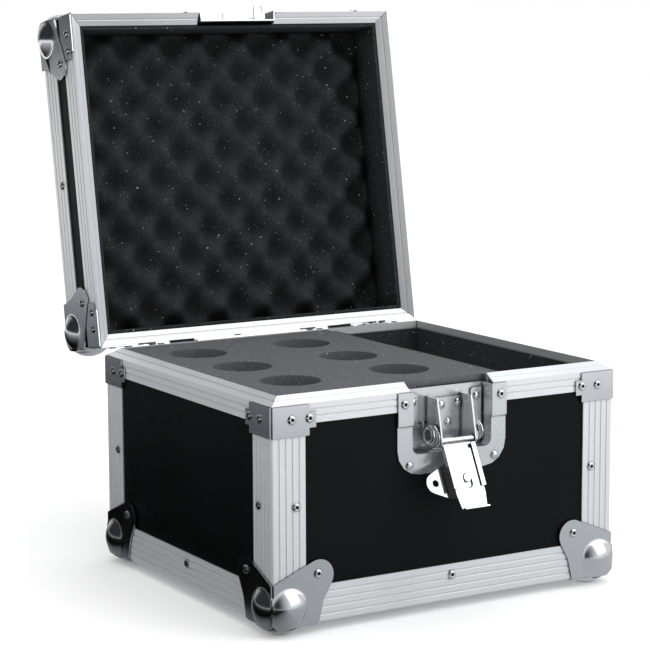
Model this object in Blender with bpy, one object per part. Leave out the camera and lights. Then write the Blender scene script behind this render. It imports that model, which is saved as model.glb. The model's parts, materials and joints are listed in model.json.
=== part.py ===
"""Small flight case for hand-held microphones, standing with its lid open.

Plywood panels are held by ribbed aluminium edge extrusions, with steel ball corners and
rim braces. A foam block with wells fills most of the base, a divider closes off a
compartment, and the lid is lined with egg-crate foam. A recessed butterfly latch closes
the front, and two stop hinges carry the lid. All lengths are in metres. The case stands on
its lower ball corners: the origin is on the floor in the middle between them, +X to the
right, +Z up, and the front faces -Y. Heights in the sizes below start at the underside of
the base's edge extrusions, and the ball corners lift all of it.
"""
import math

import bmesh
import bpy
from mathutils import Vector

# Overall sizes
CASE_WIDTH = 0.330
CASE_DEPTH = 0.295
BASE_HEIGHT = 0.1764
LID_HEIGHT = 0.0697
LID_OPEN_ANGLE = math.radians(99.8)

# Walls and gaps
GAP = 0.0003
SHEET = 0.0012
PANEL_THICKNESS = 0.0070
PANEL_FACE = SHEET + GAP
PANEL_BACK = PANEL_FACE + PANEL_THICKNESS
OVERRUN = 0.0050

# Edge extrusions
EDGE_LEG = 0.0300
LID_EDGE_LEG = 0.0255
EDGE_ROUND = 0.0015
GROOVE_WIDTH = 0.0018
GROOVE_DEPTH = 0.0004
CORNER_TRIM = 0.0120

# Rim rails, which wrap the panel edges and meet on a bevel
RIM_WIDTH = PANEL_BACK + GAP + SHEET
RIM_RISE = 0.0063
BASE_RIM_LEG = 0.0160
BASE_RIM_INNER_LEG = 0.0120
LID_RIM_LEG = 0.0245
LID_RIM_INNER_LEG = 0.0200
PARTING_GAP = 0.0004
RIM_LINER_GAP = 0.0004

# Ball corners
BALL_RADIUS = 0.0222
BALL_INSET = 0.0140
BALL_SEGMENTS = 20
FAN_EDGE = 0.0330
FAN_FOOT = 0.0400
FAN_LOBE_RADIUS = 0.0133
FAN_LOBE_ALONG = 0.0410
FAN_LOBE_RISE = 0.0380
FAN_WAIST_ALONG = 0.0450
FAN_WAIST_RISE = 0.0180
FAN_WAIST_ROUND = 0.0140
FAN_STEP = 0.0006
FAN_CORNER_CUT = 0.0150
HOLLOW_CORNER_CUT = 0.0100

# Rim braces
BRACE_LENGTH = 0.0390
BRACE_HEIGHT = 0.0244
BRACE_ROUND = 0.0060
BRACE_DROP = 0.0008

# Latch dish in the base and keeper dish in the lid
LATCH_OFFSET = 0.0025
DISH_HALF_WIDTH = 0.0525
RECESS_HALF_WIDTH = 0.0383
RECESS_DRAFT = 0.0008
DISH_OUTER_ROUND = 0.0210
DISH_INNER_ROUND = 0.0060
DISH_TOP_DROP = 0.0008
DISH_HEIGHT = 0.0676
RECESS_HEIGHT = 0.0511
RECESS_DEPTH = 0.0130
DISH_JOGGLE_DROP = 0.0274
DISH_JOGGLE_RUN = 0.0015
KEEPER_HEIGHT = 0.0429
KEEPER_RECESS_HEIGHT = 0.0322
KEEPER_DEPTH = 0.0065
KEEPER_OUTER_ROUND = 0.0160
NOTCH_CLEARANCE = 0.0008

# Latch bracket on the back of the dish
BRACKET_STANDOFF = 0.0004
EAR_HALF_SPAN = 0.0170
EAR_TOP = 0.0342
EAR_TOP_REACH = 0.0145
EAR_EYE_RADIUS = 0.0040
BRACKET_BOTTOM = 0.0068
BRACKET_STRIP_TOP = 0.0120
BRACKET_HALF_WIDTH = 0.0362
BRACKET_TAB_WIDTH = 0.0105
BRACKET_TAB_TOP = 0.0372
BRACKET_MIDDLE_TOP = 0.0320
BRACKET_ROUND = 0.0025
SPOOL_RADIUS = 0.0064
SPOOL_BORE_RADIUS = 0.0048
SPOOL_LENGTH = 0.0078
SPOOL_BACK = 0.0048
SPOOL_RISE = 0.0052

# Latch pin, arm, hook and butterfly. Reaches along the arm start at the pin
PIN_RADIUS = 0.0015
PIN_PROUD = 0.0063
PIN_DROP = 0.0421
ARM_HANG_ANGLE = math.radians(153.0)
ARM_HALF_WIDTH = 0.0153
ARM_LENGTH = 0.0403
ARM_LIP_WIDTH = 0.0040
ARM_LIP_START = 0.0040
BARREL_RADIUS = 0.0026
BARREL_BORE_RADIUS = 0.0018
HOOK_START = 0.0084
HOOK_TIP = 0.0585
HOOK_TIP_HALF_WIDTH = 0.0118
HOOK_LIP = 0.0050
HOOK_TRAVEL = 0.0050
BUTTERFLY_REACH = 0.0322
STEM_RADIUS = 0.0034
STEM_HEAD = 0.0008
STEM_CLEARANCE = 0.0004
SLOT_MARGIN = 0.0007
HUB_HALF_HEIGHT = 0.0180
HUB_HALF_WIDTH = 0.0125
WING_STEP = 0.0040
WING_EYE_REACH = 0.0261
WING_TIP_RADIUS = 0.0083
WING_TIP_START = math.radians(112.0)
WING_TIP_SWEEP = math.radians(136.0)
WING_SHOULDER_SHARE = 0.55
WING_HOLE_RADIUS = 0.0030
FINGER_FLANGE = 0.0060
FINGER_HALF_HEIGHT = 0.0090

# Keeper shelf and padlock ring on the lid
KEEPER_SHELF_HALF_WIDTH = 0.0115
KEEPER_SHELF_REACH = 0.0070
KEEPER_SHELF_TOP = 0.0094
RING_OFFSET = 0.0265
RING_HEIGHT = 0.0080
RING_RADIUS = 0.0056
RING_HOLE_RADIUS = 0.0036
RING_REACH = 0.0158
RING_THICKNESS = 0.0015

# Double torsion spring
WIRE_RADIUS = 0.0006
SPRING_RADIUS = 0.0075
SPRING_TURNS = 3.5
SPRING_PITCH = 0.0018
SPRING_TURN_POINTS = 10
SPRING_EAR_GAP = 0.0006
SPRING_TAIL = 0.0030
SPRING_BRIDGE_DROP = 0.0082
SPRING_BRIDGE_BACK = 0.0100
MIN_SELF_GAP = 0.0004

# Foam and divider in the base
FOAM_TOP = 0.0050
FOAM_RIGHT = 0.0575
FOAM_NOTCH_DEPTH = 0.0052
FOAM_NOTCH_MARGIN = 0.0022
WELL_RADIUS = 0.0250
WELL_DEPTH = 0.1500
WELL_FIRST_INSET = 0.0575
WELL_COLUMN_PITCH = 0.1040
WELL_ROW_PITCH = 0.0800
WELL_ROW_OFFSET = 0.0030
WELL_SIDES = 24
DIVIDER_THICKNESS = 0.0090
DIVIDER_TOP = 0.0030

# Lid lining and egg-crate foam
LINING_THICKNESS = 0.0030
CRATE_PITCH_X = 0.0465
CRATE_PITCH_Y = 0.0485
CRATE_STEPS = 6
CRATE_ROW_SHIFT = -0.0015
CRATE_PEAK = 0.0250
CRATE_VALLEY = 0.0070

# Stop hinges
HINGE_BACK = 0.0069
HINGE_DROP = 0.0007
HINGE_WIDTH = 0.0520
HINGE_CORNER_GAP = 0.0015
HINGE_LEAF = 0.0340
HINGE_LEAF_START = 0.0050
HINGE_SHEET = 0.0014
HINGE_ROUND = 0.0050
KNUCKLE_RADIUS = 0.0031
KNUCKLE_BORE_RADIUS = 0.0018
KNUCKLE_MIDDLE = 0.0240
KNUCKLE_START = math.radians(198.0)
KNUCKLE_SWEEP = math.radians(216.0)

# Carrying handle on the lid
HANDLE_LENGTH = 0.1700
HANDLE_RISE = 0.0260
HANDLE_FOOT_LENGTH = 0.0300
HANDLE_FOOT_WIDTH = 0.0300
HANDLE_FOOT_HEIGHT = 0.0050
HANDLE_RAMP = 0.0220
HANDLE_GRIP_RADIUS = 0.0095
HANDLE_STRAP_WIDTH = 0.0200
HANDLE_STRAP_THICKNESS = 0.0050

# Counts of facets and grooves
ARC_STEPS = 4
PIN_SIDES = 16
EDGE_GROOVE_COUNT = 4
LID_EDGE_GROOVE_COUNT = 3
BASE_RIM_GROOVE_COUNT = 2
LID_RIM_GROOVE_COUNT = 3
BEVEL_GROOVE_COUNT = 1
SMOOTH_ANGLE = math.radians(40.0)

# Places worked out from the sizes above
HALF_WIDTH = CASE_WIDTH / 2.0
HALF_DEPTH = CASE_DEPTH / 2.0
LID_TOP = BASE_HEIGHT + LID_HEIGHT
HINGE_AXIS = Vector((0.0, HALF_DEPTH + HINGE_BACK, BASE_HEIGHT - HINGE_DROP))
LATCH_PIN = Vector((LATCH_OFFSET, -HALF_DEPTH - PIN_PROUD, BASE_HEIGHT - PIN_DROP))
MITRE_RELIEF = GAP / math.sqrt(2.0)
FAN_REACH = FAN_LOBE_ALONG + FAN_LOBE_RADIUS
HINGE_OFFSET = HALF_WIDTH - FAN_REACH - HINGE_CORNER_GAP - HINGE_WIDTH / 2.0
HOOK_SLOT = SHEET / 2.0 + GAP
LINING_INSET = RIM_WIDTH + RIM_LINER_GAP
FRONT, RIGHT, BACK, LEFT = "front", "right", "back", "left"
SIDES = {
    FRONT: (0.0, CASE_WIDTH, HALF_DEPTH),
    RIGHT: (math.pi / 2.0, CASE_DEPTH, HALF_WIDTH),
    BACK: (math.pi, CASE_WIDTH, HALF_DEPTH),
    LEFT: (-math.pi / 2.0, CASE_DEPTH, HALF_WIDTH),
}
CORNERS = {
    "front_left": (0.0, -1.0, -1.0),
    "front_right": (math.pi / 2.0, 1.0, -1.0),
    "back_right": (math.pi, 1.0, 1.0),
    "back_left": (-math.pi / 2.0, -1.0, 1.0),
}
AXIS_NAMES = "xyz"


def clear_scene():
    for thing in list(bpy.data.objects):
        bpy.data.objects.remove(thing, do_unlink=True)


def make_material(name, colour, roughness, metallic):
    """Principled material with one colour, roughness and metallic value."""
    material = bpy.data.materials.new(name)
    material.use_nodes = True
    shader = material.node_tree.nodes["Principled BSDF"]
    shader.inputs["Base Color"].default_value = (*colour, 1.0)
    shader.inputs["Roughness"].default_value = roughness
    shader.inputs["Metallic"].default_value = metallic
    return material


def make_materials():
    return {
        "laminate": make_material("black_laminate", (0.012, 0.012, 0.013), 0.45, 0.0),
        "aluminium": make_material("ribbed_aluminium", (0.72, 0.74, 0.76), 0.34, 1.0),
        "steel": make_material("zinc_plated_steel", (0.66, 0.68, 0.70), 0.28, 1.0),
        "chrome": make_material("bright_steel", (0.80, 0.81, 0.82), 0.12, 1.0),
        "spring": make_material("spring_wire", (0.70, 0.70, 0.70), 0.22, 1.0),
        "grey_foam": make_material("grey_foam", (0.115, 0.118, 0.126), 0.95, 0.0),
        "black_foam": make_material("black_foam", (0.020, 0.021, 0.023), 0.97, 0.0),
        "rubber": make_material("handle_rubber", (0.018, 0.018, 0.018), 0.60, 0.0),
    }


def new_object(name, shape, material=None, smooth=False):
    """Object from a closed bmesh, with its faces turned outwards."""
    bmesh.ops.recalc_face_normals(shape, faces=shape.faces)
    mesh = bpy.data.meshes.new(name)
    shape.to_mesh(mesh)
    shape.free()
    thing = bpy.data.objects.new(name, mesh)
    bpy.context.collection.objects.link(thing)
    if material:
        mesh.materials.append(material)
    if smooth:
        mesh.shade_smooth()
        mesh.set_sharp_from_angle(angle=SMOOTH_ANGLE)
    return thing


def new_pivot(name, location, rotation=(0.0, 0.0, 0.0), parent=None):
    """Empty on a joint's axis, which carries the pieces that move about it."""
    pivot = bpy.data.objects.new(name, None)
    bpy.context.collection.objects.link(pivot)
    pivot.location = location
    pivot.rotation_euler = rotation
    pivot.parent = parent
    return pivot


def place(thing, location, turn=0.0, pivot=None):
    """Puts an object at a closed-case location, under a pivot where it has one."""
    home = Vector(location)
    if pivot:
        thing.parent = pivot
        home = home - pivot.location
    thing.location = home
    thing.rotation_euler = (0.0, 0.0, turn)
    return thing


def add_boolean(target, other, operation):
    """Boolean with a hidden operand that sits in the same place as its target."""
    other.hide_render = True
    other.display_type = "WIRE"
    other.location = target.location
    other.rotation_euler = target.rotation_euler
    other.parent = target.parent
    modifier = target.modifiers.new(other.name, "BOOLEAN")
    modifier.operation = operation
    modifier.object = other


def fuse(target, *others):
    for other in others:
        add_boolean(target, other, "UNION")


def cut(target, *others):
    for other in others:
        add_boolean(target, other, "DIFFERENCE")


def rounded(corners):
    """Outline from (a, b, radius) corners, each turned into an arc of its radius."""
    outline = []
    count = len(corners)
    for index, (a, b, radius) in enumerate(corners):
        here = Vector((a, b))
        if radius == 0.0:
            outline.append((a, b))
            continue
        before = Vector(corners[index - 1][:2]) - here
        after = Vector(corners[(index + 1) % count][:2]) - here
        half = before.angle(after) / 2.0
        before.normalize()
        after.normalize()
        reach = radius / math.tan(half)
        centre = here + (before + after).normalized() * (radius / math.sin(half))
        first = here + before * reach - centre
        last = here + after * reach - centre
        sweep = first.angle(last)
        spin = 1.0 if first.x * last.y - first.y * last.x > 0.0 else -1.0
        base = math.atan2(first.y, first.x)
        for step in range(ARC_STEPS + 1):
            angle = base + spin * sweep * step / ARC_STEPS
            outline.append((centre.x + radius * math.cos(angle), centre.y + radius * math.sin(angle)))
    return outline


def grooved_run(start, end, grooves, inward):
    """Points of a straight face from start up to end, with shallow grooves cut inwards."""
    start, end, inward = Vector(start), Vector(end), Vector(inward)
    along = (end - start).normalized()
    points = [tuple(start)]
    for index in range(grooves):
        middle = start.lerp(end, (index + 1.0) / (grooves + 1.0))
        points.append(tuple(middle - along * GROOVE_WIDTH / 2.0))
        points.append(tuple(middle - along * (GROOVE_WIDTH / 2.0 - GROOVE_DEPTH) + inward * GROOVE_DEPTH))
        points.append(tuple(middle + along * (GROOVE_WIDTH / 2.0 - GROOVE_DEPTH) + inward * GROOVE_DEPTH))
        points.append(tuple(middle + along * GROOVE_WIDTH / 2.0))
    return points


def prism(outline, plane, low, high, shape=None):
    """Closed prism of an outline in a plane such as "xz", from low to high across it.

    Low and high are lengths, or functions of the outline's point, which gives mitred ends.
    """
    shape = shape or bmesh.new()
    first, second = AXIS_NAMES.index(plane[0]), AXIS_NAMES.index(plane[1])
    third = len(AXIS_NAMES) - first - second
    rings = []
    for limit in (low, high):
        ring = []
        for a, b in outline:
            place_at = [0.0, 0.0, 0.0]
            place_at[first], place_at[second] = a, b
            place_at[third] = limit(a, b) if callable(limit) else limit
            ring.append(shape.verts.new(place_at))
        rings.append(ring)
    count = len(outline)
    for index in range(count):
        follower = (index + 1) % count
        shape.faces.new((rings[0][index], rings[0][follower], rings[1][follower], rings[1][index]))
    shape.faces.new(rings[0])
    shape.faces.new(list(reversed(rings[1])))
    return shape


def box(low, high, shape=None):
    outline = [(low[0], low[1]), (high[0], low[1]), (high[0], high[1]), (low[0], high[1])]
    return prism(outline, "xy", low[2], high[2], shape)


def circle(centre, radius, sides=PIN_SIDES):
    turn = 2.0 * math.pi / sides
    return [(centre[0] + radius * math.cos(turn * step), centre[1] + radius * math.sin(turn * step))
            for step in range(sides)]


def capsule(centre, half_run, radius):
    """Slot outline with round ends, long along its second coordinate."""
    outline = []
    for end, base in ((1.0, 0.0), (-1.0, math.pi)):
        for step in range(2 * ARC_STEPS + 1):
            angle = base + math.pi * step / (2 * ARC_STEPS)
            a, b = radius * math.cos(angle), radius * math.sin(angle) + end * half_run
            outline.append((centre[0] + a, centre[1] + b))
    return outline


def angle_profile(leg, grooves):
    """L section in (inset, height): outer faces grooved, outer corner rounded."""
    corner = rounded([(0.0, leg, 0.0), (0.0, 0.0, EDGE_ROUND), (leg, 0.0, 0.0)])[1:-1]
    side = grooved_run((0.0, leg), (0.0, 0.0), grooves, (1.0, 0.0))
    flat = grooved_run((0.0, 0.0), (leg, 0.0), grooves, (0.0, 1.0))[1:]
    return side + corner + flat + [(leg, 0.0), (leg, SHEET), (SHEET, SHEET), (SHEET, leg)]


def bevel_height(inset):
    """Height of the parting bevel above the base's rim, at an inset from its outer face."""
    return RIM_RISE * inset / RIM_WIDTH


def bevel_sheet():
    """Thickness of the bevel's wall, measured upright."""
    return SHEET * math.hypot(RIM_WIDTH, RIM_RISE) / RIM_WIDTH


def bevel_normal():
    length = math.hypot(RIM_WIDTH, RIM_RISE)
    return (RIM_RISE / length, -RIM_WIDTH / length)


def base_rim_profile():
    """Section of the base's rim rail in (inset, height above the rim's outer face)."""
    inner = RIM_WIDTH - SHEET
    down = bevel_sheet()
    outer = grooved_run((0.0, -BASE_RIM_LEG), (0.0, 0.0), BASE_RIM_GROOVE_COUNT, (1.0, 0.0))
    bevel = grooved_run((0.0, 0.0), (RIM_WIDTH, RIM_RISE), BEVEL_GROOVE_COUNT, bevel_normal())
    return outer + bevel + [
        (RIM_WIDTH, RIM_RISE),
        (RIM_WIDTH, -BASE_RIM_INNER_LEG),
        (inner, -BASE_RIM_INNER_LEG),
        (inner, bevel_height(inner) - down),
        (SHEET, bevel_height(SHEET) - down),
        (SHEET, -BASE_RIM_LEG),
    ]


def lid_rim_profile():
    """Section of the lid's rim rail, which sits over the base's bevel."""
    inner = RIM_WIDTH - SHEET
    up = PARTING_GAP + bevel_sheet()
    inward = bevel_normal()
    outer = grooved_run((0.0, LID_RIM_LEG), (0.0, PARTING_GAP), LID_RIM_GROOVE_COUNT, (1.0, 0.0))
    start, end = (0.0, PARTING_GAP), (RIM_WIDTH, RIM_RISE + PARTING_GAP)
    bevel = grooved_run(start, end, BEVEL_GROOVE_COUNT, (-inward[0], -inward[1]))
    return outer + bevel + [
        end,
        (RIM_WIDTH, LID_RIM_INNER_LEG),
        (inner, LID_RIM_INNER_LEG),
        (inner, bevel_height(inner) + up),
        (SHEET, bevel_height(SHEET) + up),
        (SHEET, LID_RIM_LEG),
    ]


def side_location(side, height):
    """Middle of a side's outer face, at a height, and the turn that faces it."""
    turn, _, distance = SIDES[side]
    return Vector((distance * math.sin(turn), -distance * math.cos(turn), height)), turn


def corner_location(corner, height):
    turn, along_x, along_y = CORNERS[corner]
    return Vector((along_x * HALF_WIDTH, along_y * HALF_DEPTH, height)), turn


def mitre(side, end):
    """Mitred end of a rail along X, whose section's first coordinate is the inset."""
    half = SIDES[side][1] / 2.0
    return lambda inset, height: end * (half - inset - MITRE_RELIEF)


def make_rail(name, side, profile, height, material, low=None, high=None, pivot=None):
    """Rail along one side, mitred at the corners or cut square at a given place."""
    low = mitre(side, -1.0) if low is None else low
    high = mitre(side, 1.0) if high is None else high
    rail = new_object(name, prism(profile, "yz", low, high), material)
    location, turn = side_location(side, height)
    return place(rail, location, turn, pivot)


def trim_corners(rail, side, up):
    """Cuts a rail's ends back inside the ball corners."""
    half = SIDES[side][1] / 2.0
    for end in (-1.0, 1.0):
        near, far = sorted((end * (half - CORNER_TRIM), end * (half + OVERRUN)))
        top, bottom = max(up * CORNER_TRIM, -up * OVERRUN), min(up * CORNER_TRIM, -up * OVERRUN)
        shape = box((near, -OVERRUN, bottom), (far, CORNER_TRIM, top))
        cut(rail, new_object(rail.name + "_trim_cutter", shape))


def make_edges(prefix, height, leg, grooves, up, material, pivot=None):
    """Four mitred edge angles round the bottom of the base or the top of the lid."""
    profile = [(inset, up * rise) for inset, rise in angle_profile(leg, grooves)]
    for side in SIDES:
        rail = make_rail(f"{prefix}_{side}", side, profile, height, material, pivot=pivot)
        trim_corners(rail, side, up)


def make_corner_angles(material):
    """Upright angles between the bottom edges and the rim rails."""
    profile = angle_profile(EDGE_LEG, EDGE_GROOVE_COUNT)
    low = EDGE_LEG + GAP
    high = BASE_HEIGHT - BASE_RIM_LEG - GAP
    for corner in CORNERS:
        post = new_object(f"corner_angle_{corner}", prism(profile, "xy", low, high), material)
        location, turn = corner_location(corner, 0.0)
        place(post, location, turn)


def make_rims(prefix, profile, height, material, pivot=None):
    """Rim rails, with the front one interrupted by the latch."""
    opening = RECESS_HALF_WIDTH + SHEET + NOTCH_CLEARANCE
    for side in (BACK, LEFT, RIGHT):
        make_rail(f"{prefix}_{side}", side, profile, height, material, pivot=pivot)
    make_rail(f"{prefix}_front_left", FRONT, profile, height, material,
              high=LATCH_OFFSET - opening, pivot=pivot)
    make_rail(f"{prefix}_front_right", FRONT, profile, height, material,
              low=LATCH_OFFSET + opening, pivot=pivot)


def panel_outline(half, low, high, clip_low, clip_high):
    """Panel face in (along, height), with corners clipped where a ball corner sits."""
    outline = []
    for end, level, clip in ((-1.0, low, clip_low), (1.0, low, clip_low),
                             (1.0, high, clip_high), (-1.0, high, clip_high)):
        if not clip:
            outline.append((end * half, level))
            continue
        inward = CORNER_TRIM if level == low else -CORNER_TRIM
        pair = [(end * half, level + inward), (end * (half - CORNER_TRIM), level)]
        if (end < 0.0) != (level == low):
            pair.reverse()
        outline.extend(pair)
    return outline


def notched_outline(half, low, high, opening, notch_level, from_top):
    """Front panel face in (along, height), notched at its rim edge for a dish."""
    left, right = LATCH_OFFSET - opening, LATCH_OFFSET + opening
    edge, other = (high, low) if from_top else (low, high)
    return [(-half, other), (half, other), (half, edge), (right, edge), (right, notch_level),
            (left, notch_level), (left, edge), (-half, edge)]


def make_side_panels(prefix, low, high, notch_level, from_top, material, pivot=None):
    """Left and right panels over the full depth, front and back panels between them."""
    side_half = HALF_DEPTH - PANEL_FACE
    front_half = HALF_WIDTH - PANEL_BACK - GAP
    opening = RECESS_HALF_WIDTH + SHEET + NOTCH_CLEARANCE
    long_face = panel_outline(side_half, low, high, from_top, not from_top)
    outlines = {
        LEFT: long_face,
        RIGHT: long_face,
        BACK: panel_outline(front_half, low, high, False, False),
        FRONT: notched_outline(front_half, low, high, opening, notch_level, from_top),
    }
    for side, outline in outlines.items():
        shape = prism(outline, "xz", PANEL_FACE, PANEL_BACK)
        panel = new_object(f"{prefix}_{side}_panel", shape, material)
        location, turn = side_location(side, 0.0)
        place(panel, location, turn, pivot)


def make_flat_panel(name, low, material, pivot=None):
    """Bottom or top panel, held between the four side panels."""
    half_x = HALF_WIDTH - PANEL_BACK - GAP
    half_y = HALF_DEPTH - PANEL_BACK - GAP
    shape = box((-half_x, -half_y, low), (half_x, half_y, low + PANEL_THICKNESS))
    place(new_object(name, shape, material), (0.0, 0.0, 0.0), pivot=pivot)


def lobe_arc(centre, before, after):
    """Arc of a plate's lobe, clockwise between its tangents to the points on either side."""
    angles = []
    for (a, b), turn in ((before, -1.0), (after, 1.0)):
        da, db = a - centre[0], b - centre[1]
        angles.append(math.atan2(db, da) + turn * math.acos(FAN_LOBE_RADIUS / math.hypot(da, db)))
    start, end = angles
    if start < end:
        start += 2.0 * math.pi
    steps = 2 * ARC_STEPS
    arc = []
    for step in range(steps + 1):
        angle = start + (end - start) * step / steps
        arc.append((centre[0] + FAN_LOBE_RADIUS * math.cos(angle),
                    centre[1] + FAN_LOBE_RADIUS * math.sin(angle), 0.0))
    return arc


def fan_outline(proud):
    """Upright plate of a ball corner: a round lobe, a straight flank and a waisted one."""
    lobe = (FAN_LOBE_ALONG, FAN_LOBE_RISE)
    edge = (-proud, FAN_EDGE)
    waist = (FAN_WAIST_ALONG, FAN_WAIST_RISE)
    return rounded([(-proud, FAN_CORNER_CUT, 0.0), (*edge, 0.0)] + lobe_arc(lobe, edge, waist)
                   + [(*waist, FAN_WAIST_ROUND), (FAN_FOOT, -proud, 0.0), (FAN_CORNER_CUT, -proud, 0.0)])


def flat_fan_outline(proud):
    """Plate on the case's underside or top, waisted alike on both flanks."""
    lobe = (FAN_LOBE_ALONG, FAN_LOBE_ALONG)
    first, second = (FAN_WAIST_RISE, FAN_WAIST_ALONG), (FAN_WAIST_ALONG, FAN_WAIST_RISE)
    return rounded([(-proud, FAN_CORNER_CUT, 0.0), (-proud, FAN_FOOT, 0.0), (*first, FAN_WAIST_ROUND)]
                   + lobe_arc(lobe, first, second)
                   + [(*second, FAN_WAIST_ROUND), (FAN_FOOT, -proud, 0.0), (FAN_CORNER_CUT, -proud, 0.0)])


def hollow_shape(up):
    """Inside of a ball corner: the case's own corner, clipped under the ball."""
    far = FAN_REACH + OVERRUN
    near = -GAP
    clip = HOLLOW_CORNER_CUT
    shape = bmesh.new()
    grid = {}
    for x in (near, far):
        for y in (near, far):
            for z in (near, far):
                if (x, y, z) != (near, near, near):
                    grid[(x, y, z)] = (x, y, up * z)
    for corner in ((clip, near, near), (near, clip, near), (near, near, clip)):
        grid[corner] = (corner[0], corner[1], up * corner[2])
    verts = [shape.verts.new(where) for where in grid.values()]
    bmesh.ops.convex_hull(shape, input=verts)
    return shape


def make_ball_corner(name, corner, height, up, proud, material, pivot=None):
    """Three lobed plates and the ball, hollowed by the case's own corner."""
    depth = -proud, SHEET
    vertical = [(a, up * b) for a, b in fan_outline(proud)]
    flat_range = sorted((up * depth[0], up * depth[1]))
    front = prism(vertical, "xz", *depth)
    part = new_object(name, front, material, smooth=True)
    side = new_object(name + "_side_form", prism(vertical, "yz", *depth))
    flat = new_object(name + "_flat_form", prism(flat_fan_outline(proud), "xy", *flat_range))
    ball_shape = bmesh.new()
    bmesh.ops.create_uvsphere(ball_shape, u_segments=BALL_SEGMENTS, v_segments=BALL_SEGMENTS // 2,
                              radius=BALL_RADIUS)
    bmesh.ops.translate(ball_shape, verts=ball_shape.verts,
                        vec=(BALL_INSET, BALL_INSET, up * BALL_INSET))
    ball = new_object(name + "_ball_form", ball_shape)
    hollow = new_object(name + "_hollow_cutter", hollow_shape(up))
    location, turn = corner_location(corner, height)
    place(part, location, turn, pivot)
    fuse(part, side, flat, ball)
    return part, hollow


def brace_shape(low, high, length, proud, round_radius):
    """Bent plate round an upright corner, its far corners rounded."""
    shape = bmesh.new()
    outline = [(length, -proud), (-proud, -proud), (-proud, length), (-GAP, length),
               (-GAP, -GAP), (length, -GAP)]
    prism(outline, "xy", low, high, shape)
    tolerance = GAP
    rounding = [edge for edge in shape.edges
                if abs(edge.calc_length() - (proud - GAP)) < tolerance
                and max(max(vert.co.x, vert.co.y) for vert in edge.verts) > length - tolerance]
    bmesh.ops.bevel(shape, geom=rounding, offset=round_radius, segments=ARC_STEPS, affect="EDGES")
    return shape


def make_base_corners(steel):
    """Ball corners under the base and braces at its rim."""
    proud = SHEET + GAP
    for corner in CORNERS:
        ball, hollow = make_ball_corner(f"ball_corner_{corner}", corner, 0.0, 1.0, proud, steel)
        cut(ball, hollow)
        top = BASE_HEIGHT - BRACE_DROP
        shape = brace_shape(top - BRACE_HEIGHT, top, BRACE_LENGTH, proud, BRACE_ROUND)
        location, turn = corner_location(corner, 0.0)
        place(new_object(f"rim_brace_{corner}", shape, steel, smooth=True), location, turn)


def make_lid_corners(steel, pivot):
    """Ball corner and rim brace of each lid corner, riveted up as one."""
    proud = SHEET + GAP
    for corner in CORNERS:
        name = f"lid_corner_{corner}"
        part, hollow = make_ball_corner(name, corner, LID_TOP, -1.0, proud + FAN_STEP, steel, pivot)
        low = BASE_HEIGHT - LID_TOP + PARTING_GAP + BRACE_DROP
        brace = new_object(name + "_brace_form",
                           brace_shape(low, low + BRACE_HEIGHT, BRACE_LENGTH, proud, BRACE_ROUND))
        fuse(part, brace)
        cut(part, hollow)


def dish_path(half, open_level, end_level, corner_radius, joggles):
    """U-shaped path in (x, z) from the open edge down one side, across and up the other."""
    sign = 1.0 if end_level > open_level else -1.0
    side = [(-half, open_level)] + [(-half, level) for level in joggles]
    centre = (-half + corner_radius, end_level - sign * corner_radius)
    for step in range(ARC_STEPS + 1):
        angle = math.pi / 2.0 * step / ARC_STEPS
        side.append((centre[0] - corner_radius * math.cos(angle),
                     centre[1] + sign * corner_radius * math.sin(angle)))
    return side + [(-x, z) for x, z in reversed(side)]


def dish_shape(open_level, outer_end, inner_end, outer_round, joggles, high_face, low_face, floor):
    """Front surface of a pressed dish: flange, recess wall and recess floor."""
    outer = dish_path(DISH_HALF_WIDTH, open_level, outer_end, outer_round, joggles)
    inner = dish_path(RECESS_HALF_WIDTH, open_level, inner_end, DISH_INNER_ROUND, joggles)
    shrink = 1.0 - RECESS_DRAFT / RECESS_HALF_WIDTH
    reverse = outer_end > open_level

    def face(level):
        return high_face if abs(level - open_level) <= abs(joggles[0] - open_level) else low_face

    shape = bmesh.new()
    loops = [
        [shape.verts.new((x, face(z), z)) for x, z in outer],
        [shape.verts.new((x, face(z), z)) for x, z in inner],
        [shape.verts.new((x * shrink, floor, z)) for x, z in inner],
    ]
    faces = []
    for first, second in zip(loops, loops[1:]):
        for index in range(len(first) - 1):
            faces.append((first[index], first[index + 1], second[index + 1], second[index]))
    base = loops[2]
    count = len(base)
    for index in range(count // 2 - 1):
        faces.append((base[index], base[index + 1], base[count - 2 - index], base[count - 1 - index]))
    for corners in faces:
        shape.faces.new(tuple(reversed(corners)) if reverse else corners)
    return shape


def sheet_object(name, shape, material):
    """Pressed sheet: an open surface, thickened to its back."""
    mesh = bpy.data.meshes.new(name)
    shape.to_mesh(mesh)
    shape.free()
    mesh.materials.append(material)
    thing = bpy.data.objects.new(name, mesh)
    bpy.context.collection.objects.link(thing)
    solidify = thing.modifiers.new("sheet", "SOLIDIFY")
    solidify.thickness = SHEET
    solidify.offset = -1.0
    solidify.use_even_offset = True
    return thing


def make_latch_dish(steel):
    """Pressed dish in the base's front, open at the top."""
    top = BASE_HEIGHT - DISH_TOP_DROP
    joggle = BASE_HEIGHT - DISH_JOGGLE_DROP
    shape = dish_shape(
        top, top - DISH_HEIGHT, top - RECESS_HEIGHT, DISH_OUTER_ROUND,
        (joggle, joggle - DISH_JOGGLE_RUN), -GAP - SHEET, PANEL_FACE - GAP - SHEET, RECESS_DEPTH)
    place(sheet_object("latch_dish", shape, steel), (LATCH_OFFSET, -HALF_DEPTH, 0.0))


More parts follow.
